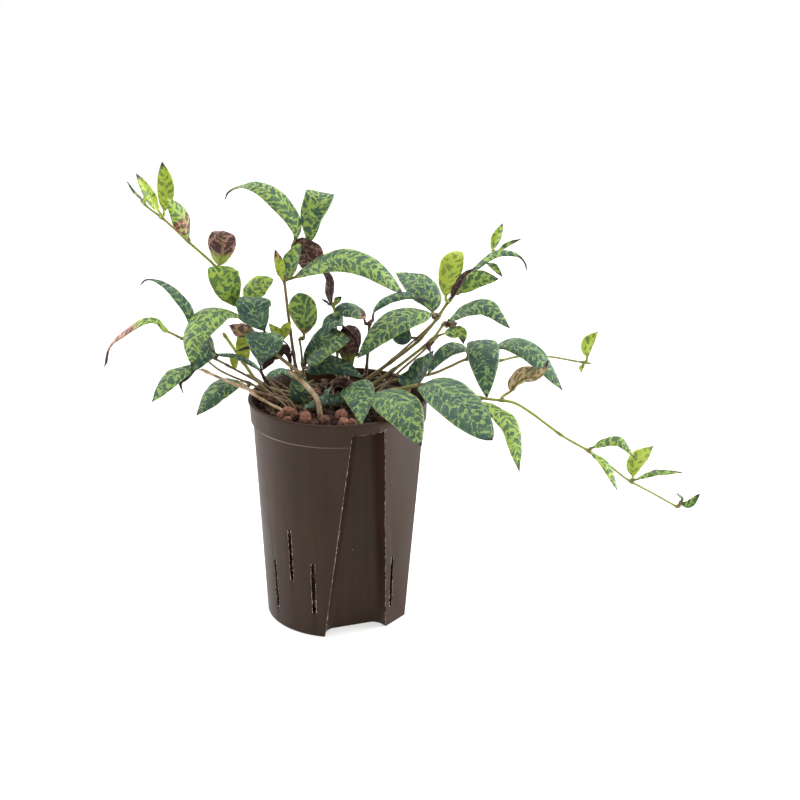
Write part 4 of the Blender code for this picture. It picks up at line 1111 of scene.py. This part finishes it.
# Upright stem: red-brown and bare to its top, where two leaf stalks fork off to big marbled leaves that arch
# away to both sides. A small green pair grows below the fork, and a pale pair lower down.
plan_stem("upright_stem", 1.6, 1.2, (
    (-31, 15, 178.3), (-34, 13, 199), (-37, 12, 222), (-40, 11, 251), (-42, 10, 275),
    (-43, 10, 289), (-40, 10, 300), (-31, 10, 313)))
grow_leaf("upright_long_leaf", "upright_stem", 24, 7, (1, -6, 8),
          ((-42, 10, 286), (-35, 6, 288), (-27, 0, 295), (-11, -8, 305), (7, -13, 309), (30, -18, 302),
           (53, -18, 281)), young=0.36, fold=-0.5, fall=0.8, rise=0.8, dark_tip=0.06)
grow_leaf("upright_maroon_leaf", "upright_stem", 24, 3, (1, 8, 2),
          ((-32, 10, 311), (-29, 12, 313), (-23, 16, 303), (-25, 24, 288)), young=0.2, fold=0.5, rise=0.5,
          fall=0.7, dark_tip=0.1)
grow_leaf("upright_arching_leaf", "upright_stem", 19, 8, (2, -5, 8),
          ((-33, 10, 310), (-31, 9, 325), (-36, 10, 339), (-52, 17, 355), (-67, 25, 360), (-81, 36, 356),
           (-90, 42, 350), (-92, 42, 344)), young=0.4, fold=-0.5, dark_tip=0.2, fall=1.5, rise=0.85,
          rolled_tip=2.1)
grow_leaf("upright_top_leaf", "upright_stem", 23, 8, (-1, -9, 3),
          ((-31, 10, 312), (-22, 12, 320), (-20, 14, 337), (-15, 18, 349), (-13, 28, 353), (-13, 44, 347)),
          young=0.38, fold=0.15, rise=0.8, fall=0.45, dark_tip=0.03)
grow_leaf("upright_pair_leaf_left", "upright_stem", 8, 3, (3, -8, 2),
          ((-43, 10, 287), (-46, 4, 299), (-49, 2, 312)), young=0.9, fold=1.0, brown=0.9, brown_from=0.7,
          dark_tip=0.1)
grow_leaf("upright_pair_leaf_right", "upright_stem", 15, 4, (-4, -8, 4),
          ((-43, 10, 286), (-37, 4, 300), (-29, 6, 317)), young=0.4, fold=0.6, dark_tip=0.05)
plan_stem("pale_twig", 0.7, 0.6, ((-38, 12, 224), (-41, 11, 229), (-44, 9, 233), (-47, 8, 237)),
          on="upright_stem")
grow_leaf("pale_leaf_right", "pale_twig", 9, 2, (0, -7, 6),
          ((-46, 8, 236), (-43, 5, 243), (-38, 2, 252)), young=0.95, fold=0.6, brown=0.4, dark_tip=0.0)
grow_leaf("pale_leaf_left", "pale_twig", 8, 2, (0, -7, 6),
          ((-47, 8, 236), (-51, 7, 243), (-56, 8, 249)), young=0.9, fold=0.6, brown=0.4, dark_tip=0.0)
grow_leaf("upright_low_maroon_leaf", "upright_stem", 15, 3, (0, 7, 4),
          ((-37, 12, 222), (-44, 8, 226), (-54, 4, 222), (-62, 2, 211)), young=0.0, fold=0.7, wave=0.8,
          dark_tip=0.2)
grow_leaf("left_hanging_curl", "upright_stem", 7, 4, (1, 5, 4),
          ((-35, 13, 210), (-42, 10, 222), (-56, 8, 229), (-72, 6, 229), (-84, 6, 226)), young=0.0, fold=0.9,
          brown=0.0, dark_tip=0.2)
grow_bark("pale_twig", green=0.3, red=0.7)
grow_bark("upright_stem", green=0.25, red=0.6, joints=(0.45,))

# Short and centre stems: low shoots in the middle of the pot with a crowd of leaves that hides the granules.
plan_stem("short_stem", 1.3, 1.0, (
    (-24, 22, 178.3), (-28, 20, 192), (-30, 17, 212), (-31, 14, 226), (-32, 12, 235)))
plan_stem("centre_stem", 1.6, 1.2, (
    (14, 26, 178.3), (18, 25, 190), (22, 22, 201), (24, 20, 222), (25, 18, 240), (26, 17, 248)))
grow_leaf("centre_bright_leaf", "short_stem", 23, 6, (0, -9, 3),
          ((-32, 12, 235), (-27, 8, 254), (-32, 10, 274)), young=0.5, fold=0.4, rise=0.95, fall=0.6,
          brown=0.7, brown_from=0.0, brown_to=0.2, dark_tip=0.0)
grow_leaf("centre_wide_leaf", "short_stem", 33, 7, (-3, -7, 8),
          ((-30, 16, 214), (-22, 2, 229), (-8, -6, 239), (10, -8, 240)), young=0.26, fold=-0.4, dark_tip=0.0,
          rise=0.6, fall=0.8)
grow_leaf("centre_dark_leaf", "centre_stem", 25, 13, (0, -1, 9),
          ((24, 20, 221), (10, 15, 219), (8, 9, 234), (3, 5, 251), (-7, 3, 250), (-11, 4, 235)), young=0.02,
          fold=0.6, twist=-110.0, rise=0.6, dark_tip=0.0)
grow_leaf("centre_light_leaf", "centre_stem", 14, 5, (1, -7, 7),
          ((25, 17, 246), (21, 15, 254), (11, 11, 260), (1, 8, 259), (-2, 6, 249)), young=0.12, fold=-0.4,
          brown=0.9, brown_from=-0.3, brown_to=0.2, dark_tip=0.0)
grow_leaf("centre_cupped_leaf", "centre_stem", 19, 18, (0, 8, 2),
          ((20, 23, 199), (11, 12, 211), (8, 6, 222), (9, 1, 232), (10, 1, 242), (9, 6, 248)), young=0.15,
          fold=0.7, rise=0.9, fall=0.4, brown=0.7, brown_from=-0.5, brown_to=0.3, dark_tip=0.0)
grow_leaf("centre_thin_leaf", "centre_stem", 10, 8, (0, -5, 9),
          ((26, 17, 248), (29, 18, 257), (39, 20, 266), (55, 22, 270), (74, 25, 263)), young=0.1, fold=-1.0,
          dark_tip=0.3)
grow_leaf("centre_teal_leaf", "short_stem", 14, 5, (3, -8, 5),
          ((-30, 16, 212), (-17, -3, 234), (-12, -10, 246), (-6, -8, 256)), young=0.02, fold=0.4,
          dark_tip=0.0)
grow_leaf("rim_dark_leaf", "short_stem", 18, 4, (0, -7, 6),
          ((-30, 17, 209), (-23, 9, 212), (-10, 5, 216), (6, 1, 213), (20, -3, 206)), young=0.05, fold=-0.5,
          wave=0.9, rise=0.5, dark_tip=0.0)
plan_stem("dry_topped_stem", 1.1, 0.8, (
    (0, 15, 178.3), (-1, 13, 196), (-1, 11, 225), (-2, 10, 251), (-4, 10, 266)))
grow_leaf("dry_top_curl", "dry_topped_stem", 7, 3, (1, 6, 4),
          ((-3, 10, 264), (-7, 14, 273), (-7, 18, 284), (-14, 20, 292)), young=0.0, fold=1.2, wave=0.8,
          dark_tip=0.2)
grow_leaf("dry_top_twig", "dry_topped_stem", 2, 2, (1, -6, 4),
          ((-4, 10, 265), (-8, 10, 266), (-13, 10, 269)), young=0.0, fold=0.5, dark_tip=0.8, wave=0.0)
grow_leaf("dry_top_bud", "dry_topped_stem", 5, 2, (-1, -6, 4),
          ((-4, 10, 265), (-1, 9, 267), (3, 10, 271)), young=0.5, fold=1.3, dark_tip=0.5)
grow_bark("dry_topped_stem", green=0.9, red=0.3, joints=(0.5, 0.98))
grow_bark("short_stem", green=0.7, red=0.3, joints=(0.55,))
grow_bark("centre_stem", green=0.3, red=0.9, joints=(0.4, 0.97))

# Right bundle: two long stems that rise to the right, with leaves along them and small new ones at the tip.
plan_stem("right_stem", 2.0, 1.0, (
    (4, 4, 178.3), (8, 5, 189), (18, 7, 197), (38, 12, 211), (63, 17, 229), (79, 23, 246),
    (89, 27, 260), (97, 31, 269), (111, 37, 286), (122, 42, 293), (129, 45, 299)))
plan_stem("right_low_stem", 1.7, 1.2, (
    (14, -4, 178.3), (17, -3, 189), (25, 0, 197), (42, 4, 208), (60, 8, 221), (77, 13, 234),
    (87, 17, 247)))
grow_leaf("right_long_leaf", "right_stem", 27, 8, (-3, -6, 8),
          ((83, 25, 250), (60, 6, 258), (38, -4, 250), (16, -10, 225)), young=0.3, fold=-0.5, dark_tip=0.04)
grow_leaf("right_teal_leaf", "right_stem", 28, 6, (3, -7, 7),
          ((81, 23, 248), (76, 31, 263), (65, 42, 275), (47, 56, 279)), young=0.2, fold=-0.4, dark_tip=0.0)
grow_leaf("right_yellow_leaf", "right_stem", 20, 5, (-3, -9, 5),
          ((90, 27, 262), (88, 24, 272), (91, 22, 288), (95, 25, 301), (96, 31, 304)), young=0.9, fold=0.3,
          rise=0.7, fall=0.5, dark_tip=0.0)
grow_leaf("right_green_leaf", "right_stem", 15, 4, (0, -8, 5),
          ((97, 31, 269), (112, 27, 281), (131, 24, 282)), young=0.5, fold=-0.5, dark_tip=0.1)
grow_leaf("right_tip_leaf", "right_stem", 9, 2, (-6, -8, 2),
          ((129, 45, 299), (130, 47, 311), (135, 51, 322)), young=0.75, fold=0.6, dark_tip=0.15)
grow_leaf("right_tip_leaf_long", "right_stem", 10, 5, (0, -5, 9),
          ((104, 34, 278), (111, 34, 288), (122, 31, 299), (133, 26, 304), (146, 20, 303), (152, 16, 297),
           (153, 15, 291)), young=0.35, fold=-0.7, dark_tip=0.3, fall=1.4, rolled_tip=2.0)
grow_leaf("right_strip_leaf", "right_stem", 10, 3, (-6, 6, -4),
          ((93, 28, 264), (97, 18, 276), (103, 14, 288), (112, 12, 295)), young=0.0, fold=0.7, dark_tip=0.1)
grow_leaf("right_tip_leaf_low", "right_stem", 6, 3, (2, -7, 5),
          ((121, 41, 292), (127, 30, 291), (134, 24, 284)), young=0.55, fold=0.6, dark_tip=0.3)
grow_leaf("right_tip_leaf_thin", "right_stem", 4, 3, (0, -6, 6),
          ((129, 45, 299), (138, 42, 306), (149, 38, 312)), young=0.4, fold=0.6, dark_tip=0.4)
grow_leaf("right_arching_leaf", "right_low_stem", 18, 5, (2, -6, 8),
          ((87, 17, 247), (101, 5, 262), (119, -6, 268), (138, -19, 253)), young=0.22, fold=-0.6,
          dark_tip=0.08)
grow_leaf("right_folded_leaf", "right_low_stem", 20, 6, (-6, -6, 4),
          ((42, 5, 210), (60, -4, 205), (71, -14, 221), (77, -18, 234)), young=0.05, fold=0.9, dark_tip=0.05)
grow_leaf("right_small_leaf", "right_low_stem", 12, 24, (2, -6, 7),
          ((74, 13, 233), (82, 10, 238), (92, 6, 243), (100, 2, 243), (102, -3, 235)), young=0.5, fold=-0.5,
          rise=0.6, dark_tip=0.2)
grow_leaf("right_hidden_leaf", "right_stem", 18, 5, (-2, -8, 5),
          ((65, 18, 231), (55, 24, 233), (44, 28, 241)), young=0.0, fold=0.5, dark_tip=0.1)
grow_leaf("bed_dead_leaf", "right_stem", 17, 5, (-3, 5, 5),
          ((7, 4, 187), (4, -4, 198), (-1, -13, 203), (-7, -21, 200), (-7, -26, 193)), young=0.0, fold=0.9,
          wave=0.9, dark_tip=0.1)
plan_stem("right_thin_stem", 1.2, 0.8, (
    (9, 12, 178.3), (15, 12, 190), (32, 15, 205), (54, 18, 224), (70, 21, 238), (83, 24, 250)))
plan_stem("right_dry_stem", 1.3, 1.0, (
    (24, 3, 178.3), (31, 5, 189), (50, 10, 207), (68, 14, 222), (82, 17, 235)))
grow_bark("right_thin_stem", green=0.5, red=0.5, joints=(0.5,))
grow_bark("right_dry_stem", green=0.5, red=0.3, pale=0.4, joints=(0.4, 0.9))
plan_stem("right_old_stub", 2.2, 1.9, ((55, 2, 178.3), (56, 5, 186), (58, 8, 196), (60, 10, 206),
          (63, 12, 214)))
grow_bark("right_old_stub", pale=0.7, red=0.6, joints=(0.7,))
grow_bark("right_stem", green=1.1, red=0.35, joints=(0.3, 0.48, 0.6))
grow_leaf("right_dried_bud", "right_low_stem", 9, 2, (-1, 7, 3),
          ((86, 17, 246), (91, 12, 246), (97, 10, 249)), young=0.5, fold=1.3, wave=0.8, dark_tip=0.0)
grow_leaf("right_purple_scrap", "right_low_stem", 5, 2, (1, 6, 4),
          ((76, 13, 233), (74, 9, 230), (75, 6, 225)), young=0.0, fold=0.6, dark_tip=0.3)
grow_bark("right_low_stem", green=0.9, red=0.35, joints=(0.45, 0.75))

# Tendrils: two long slack shoots that trail out over the right rim, green at their ends, with pairs of leaves
# far apart. The front one hangs in front of the pot's side, the back one runs out behind it.
plan_stem("back_tendril", 1.6, 0.9, (
    (24, 18, 178.3), (30, 20, 188), (49, 22, 196), (76, 27, 199), (92, 32, 204), (106, 36, 209),
    (120, 40, 207), (134, 45, 205), (150, 50, 207), (166, 55, 206), (182, 61, 203), (200, 63, 199),
    (215, 65, 196)))
plan_stem("front_tendril", 1.6, 0.9, (
    (20, -12, 178.3), (26, -13, 189), (38, -18, 199), (55, -25, 205), (68, -33, 210), (90, -45, 211),
    (114, -58, 208), (137, -68, 208), (150, -75, 203), (164, -81, 194), (177, -87, 186),
    (195, -89, 176), (208, -89, 167), (220, -89, 157), (228, -89, 151), (248, -87, 139),
    (268, -86, 127)))
grow_leaf("right_hanging_leaf", "back_tendril", 27, 10, (0, -8, 4),
          ((118, 40, 207), (116, 36, 222), (118, 20, 231), (119, -2, 221), (121, -14, 192)), young=0.1,
          fold=-0.35, dark_tip=0.06)
grow_leaf("right_far_leaf", "back_tendril", 22, 8, (3, -6, 8),
          ((124, 42, 207), (130, 35, 221), (143, 22, 229), (161, 8, 223), (183, -8, 197)), young=0.15,
          fold=-0.4, dark_tip=0.06)
grow_leaf("right_narrow_leaf", "back_tendril", 12, 6, (2, -7, 6),
          ((107, 36, 209), (105, 30, 221), (92, 22, 223), (81, 14, 216), (73, 7, 205)), young=0.12, fold=-0.5,
          dark_tip=0.06)
grow_leaf("front_large_leaf", "front_tendril", 35, 4, (4, -8, 3),
          ((68, -33, 212), (79, -54, 217), (100, -78, 207), (121, -96, 187)), young=0.16, fold=-0.3,
          fall=0.65, rise=0.6, dark_tip=0.05)
grow_leaf("bed_lying_leaf", "front_tendril", 11, 10, (0, -5, 9),
          ((21, -12, 182), (15, -15, 189), (3, -17, 194), (-13, -19, 193), (-30, -24, 186)), young=0.0,
          fold=-0.8, dark_tip=0.05)
grow_leaf("front_rim_leaf_left", "right_stem", 27, 18, (1, -8, 5),
          ((6, 4, 185), (5, -8, 198), (12, -20, 205), (17, -30, 204), (19, -44, 198), (20, -61, 185)),
          young=0.22, fold=-0.25, rise=0.6, fall=1.15, dark_tip=0.06)
grow_leaf("front_rim_leaf_right", "right_low_stem", 35, 22, (3, -8, 6),
          ((20, -1, 193), (30, -22, 200), (40, -40, 205), (54, -62, 199), (67, -80, 176)), young=0.26,
          fold=-0.4, dark_tip=0.05)
grow_leaf("tendril_brown_leaf", "front_tendril", 21, 9, (-1, 7, 5),
          ((130, -64, 208), (136, -60, 214), (141, -58, 220), (149, -56, 224), (158, -54, 224),
           (164, -52, 229), (166, -51, 236)), young=0.55, fold=0.9, brown=0.15, brown_from=-1.0, brown_to=2.0,
          rise=0.55, fall=1.1, dark_tip=0.2, rolled_tip=1.4)
grow_leaf("tendril_bright_leaf", "front_tendril", 18, 5, (6, -8, 2),
          ((114, -58, 208), (123, -71, 204), (137, -86, 193), (143, -88, 158)), young=0.5, fold=-0.4,
          dark_tip=0.1)
grow_leaf("tendril_upper_leaf", "front_tendril", 10, 3, (1, -5, 8),
          ((196, -89, 176), (205, -95, 185), (217, -99, 188), (229, -103, 176)), young=0.5, fold=-0.6,
          dark_tip=0.08)
grow_leaf("tendril_lower_leaf", "front_tendril", 10, 3, (6, -7, 3),
          ((197, -89, 176), (207, -106, 172), (215, -118, 155)), young=0.6, fold=-0.4, dark_tip=0.08)
grow_leaf("tendril_end_leaf_upper", "front_tendril", 14, 3, (-6, -8, 3),
          ((230, -89, 150), (234, -80, 163), (248, -72, 173)), young=0.85, fold=0.4, dark_tip=0.05)
grow_leaf("tendril_end_leaf_right", "front_tendril", 8, 4, (0, -4, 9),
          ((230, -89, 150), (244, -103, 164), (264, -114, 168)), young=0.45, fold=-0.8, dark_tip=0.1)
grow_leaf("tendril_tip_leaf", "front_tendril", 6, 2, (2, -6, 7),
          ((268, -86, 127), (277, -86, 130), (284, -87, 139)), young=0.45, fold=0.9, dark_tip=0.3)
grow_leaf("tendril_tip_leaf_thin", "front_tendril", 2.6, 2, (2, -6, 7),
          ((268, -86, 128), (271, -87, 134), (266, -88, 140)), young=0.3, fold=0.7, dark_tip=0.3, wave=0.0)
grow_leaf("back_tendril_leaf", "back_tendril", 11, 4, (-5, -8, 2),
          ((210, 65, 197), (210, 61, 214), (218, 57, 227)), young=0.8, fold=0.5, dark_tip=0.05)
grow_leaf("back_tendril_leaf_small", "back_tendril", 4, 2, (-5, -8, 2),
          ((208, 64, 197), (206, 62, 194), (206, 60, 190)), young=0.7, fold=0.5, dark_tip=0.2)
grow_bark("back_tendril", green=1.4, red=0.35, joints=(0.25, 0.6))
grow_bark("front_tendril", green=1.8, red=0.15, joints=(0.3, 0.62))


# Dry stalks: thin bare old shoots, brown and brittle. Most lean on the left rim beside the living ones.
DRY_STALKS = (                             # thickness, paleness and route of each
    (1.25, 0.85, ((-79, -12, 206), (-69, -20, 199), (-54, -30, 193), (-40, -42, 190), (-37, -45, 184))),
    (0.7, 0.3, ((-74, -2, 209), (-64, -8, 203), (-52, -16, 195), (-41, -23, 188), (-36, -26, 180))),
    (0.55, 0.1, ((-68, -1, 206), (-58, -5, 200), (-48, -13, 194), (-38, -21, 188), (-34, -24, 180))),
    (0.8, 0.2, ((-59, 6, 202), (-50, -1, 197), (-43, -9, 192), (-36, -17, 187), (-32, -20, 180))),
    (0.5, 0.5, ((-64, 10, 204), (-50, 9, 198), (-38, 2, 191), (-30, -6, 180))),
    (0.6, 0.9, ((4, 14, 209), (5, 12, 200), (8, 7, 190), (9, 5, 180))),
    (0.9, 0.7, ((-4, 17, 210), (2, 13, 200), (6, 8, 190), (8, 4, 180))),
    (0.6, 0.2, ((30, 26, 203), (37, 24, 196), (42, 18, 188), (44, 14, 180))),
    (0.6, 0.0, ((-8, 30, 204), (-2, 27, 196), (4, 24, 188), (6, 22, 180))),
)
for index, (thickness, paleness, points) in enumerate(DRY_STALKS):
    route = smooth_route([Vector(p) for p in points], BARK_SPACING)
    radii = [thickness * (1 + 0.3 * noise.noise(place * 0.3)) for place in route]
    stalk = tube("dry_stalk_%d" % index, route, radii, 8)
    mark(stalk, "bark_tone", [(0.2, 0.6, paleness, 0.0)] * len(stalk.data.vertices))
    bpy.ops.object.shade_smooth()
    stalk.data.materials.append(stem_bark)
    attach(stalk, "root")

# Frayed ends: where the three old stems broke, their fibres stand out in short reddish splinters.
SPLINTERS_PER_END = 9
splinters = []
for name in ("old_cut_stem", "left_pale_stem", "right_old_stub"):
    route, radius = stems[name]
    end, onward = route[-1], (route[-1] - route[-3]).normalized()
    for _ in range(SPLINTERS_PER_END):
        off = Vector([chance.gauss(0, 1) for _ in range(3)]).normalized()
        start = end - onward * 1.5 + off * radius[1] * 0.5
        reach = onward * chance.uniform(1.5, 4.5) + off * chance.uniform(0.3, 1.6)
        splinters.append(tube("splinter", [start, start + reach * 0.6, start + reach], [0.42, 0.3, 0.12], 4))
frayed_ends = join_pieces(splinters)
frayed_ends.name = "frayed_ends"
mark(frayed_ends, "bark_tone", [(0.0, 0.8, 0.45, 0.3)] * len(frayed_ends.data.vertices))
frayed_ends.data.materials.append(stem_bark)
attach(frayed_ends, "root")

# Litter: scraps of dead leaf, moss and root that have settled between the stems, over the granules.
SCRAPS = 330
LITTER_REACH = 62.0                        # from the axis of the pot
LITTER_HEIGHT = 183.5
THREAD_SHARE = 0.55                        # of the scraps, the ones that are long and thin
litter = bmesh.new()
litter_tone = litter.verts.layers.float_color.new("litter_tone")
for _ in range(SCRAPS):
    far, turn = LITTER_REACH * math.sqrt(chance.random()), chance.uniform(0, math.tau)
    place = Vector((far * math.cos(turn), far * math.sin(turn), 0))
    if place.y < -30 or place.dot(directions(FLATS[0][0])[0]) > 52:
        continue
    length, width = chance.uniform(4, 11), chance.uniform(1.2, 4.0)
    if chance.random() < THREAD_SHARE:
        length, width = chance.uniform(7, 18), chance.uniform(0.5, 0.9)
    ahead, _ = directions(chance.uniform(0, 360))
    across = Vector((-ahead.y, ahead.x, chance.uniform(-0.5, 0.5))).normalized()
    height = LITTER_HEIGHT + chance.uniform(-1.5, 2.5)
    tone_here = (chance.random(), chance.random() ** 2, 0.0, 1.0)
    bend, lift = chance.uniform(-0.5, 0.5), chance.uniform(-0.15, 0.35)
    ring = []
    for i in range(6):
        t = i / 5
        middle = place + ahead * length * (t - 0.5) + across * bend * length * (t - 0.5) ** 2
        middle.z = height + lift * length * t + 1.2 * math.sin(math.pi * t)
        half = width / 2 * (0.25 + 0.75 * math.sin(math.pi * (0.1 + 0.8 * t)))
        pair = [litter.verts.new((middle + across * half * way) * MM) for way in (-1, 1)]
        for vert in pair:
            vert[litter_tone] = tone_here
        if ring:
            litter.faces.new((ring[0], ring[1], pair[1], pair[0]))
        ring = pair
bed_litter = thin_piece("bed_litter", litter, 0.4, -1.0)
dead_scraps, shader = new_material("dead leaf and root scraps")
coordinates = add_node(dead_scraps, "TexCoord")
scrap_tone = add_node(dead_scraps, "Attribute", attribute_name="litter_tone")
scrap_parts = add_node(dead_scraps, "SeparateColor", {"Color": scrap_tone})
blotch = add_node(dead_scraps, "TexNoise", {"Vector": coordinates.outputs["Object"], "Scale": 350.0,
                  "Detail": 3.0})
brown = add_node(dead_scraps, "ValToRGB", {"Fac": scrap_parts.outputs[0]}, stops=[(0.0, "#22150e"),
                 (0.4, "#3f2a1c"), (0.75, "#6a4c33"), (1.0, "#8e7450")])
mossy = add_node(dead_scraps, "Mix", {0: scrap_parts.outputs[1], 6: brown, 7: "#586434"}, data_type="RGBA")
stained = add_node(dead_scraps, "MapRange", {"Value": blotch, "From Min": 0.3, "From Max": 0.7, "To Min": 0.6,
                   "To Max": 1.2})
spotted = add_node(dead_scraps, "Mix", {0: 1.0, 6: mossy, 7: stained}, data_type="RGBA",
                   blend_type="MULTIPLY")
set_inputs(dead_scraps, shader, {"Base Color": spotted, "Roughness": 0.85})
bed_litter.data.materials.append(dead_scraps)
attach(bed_litter, "root")
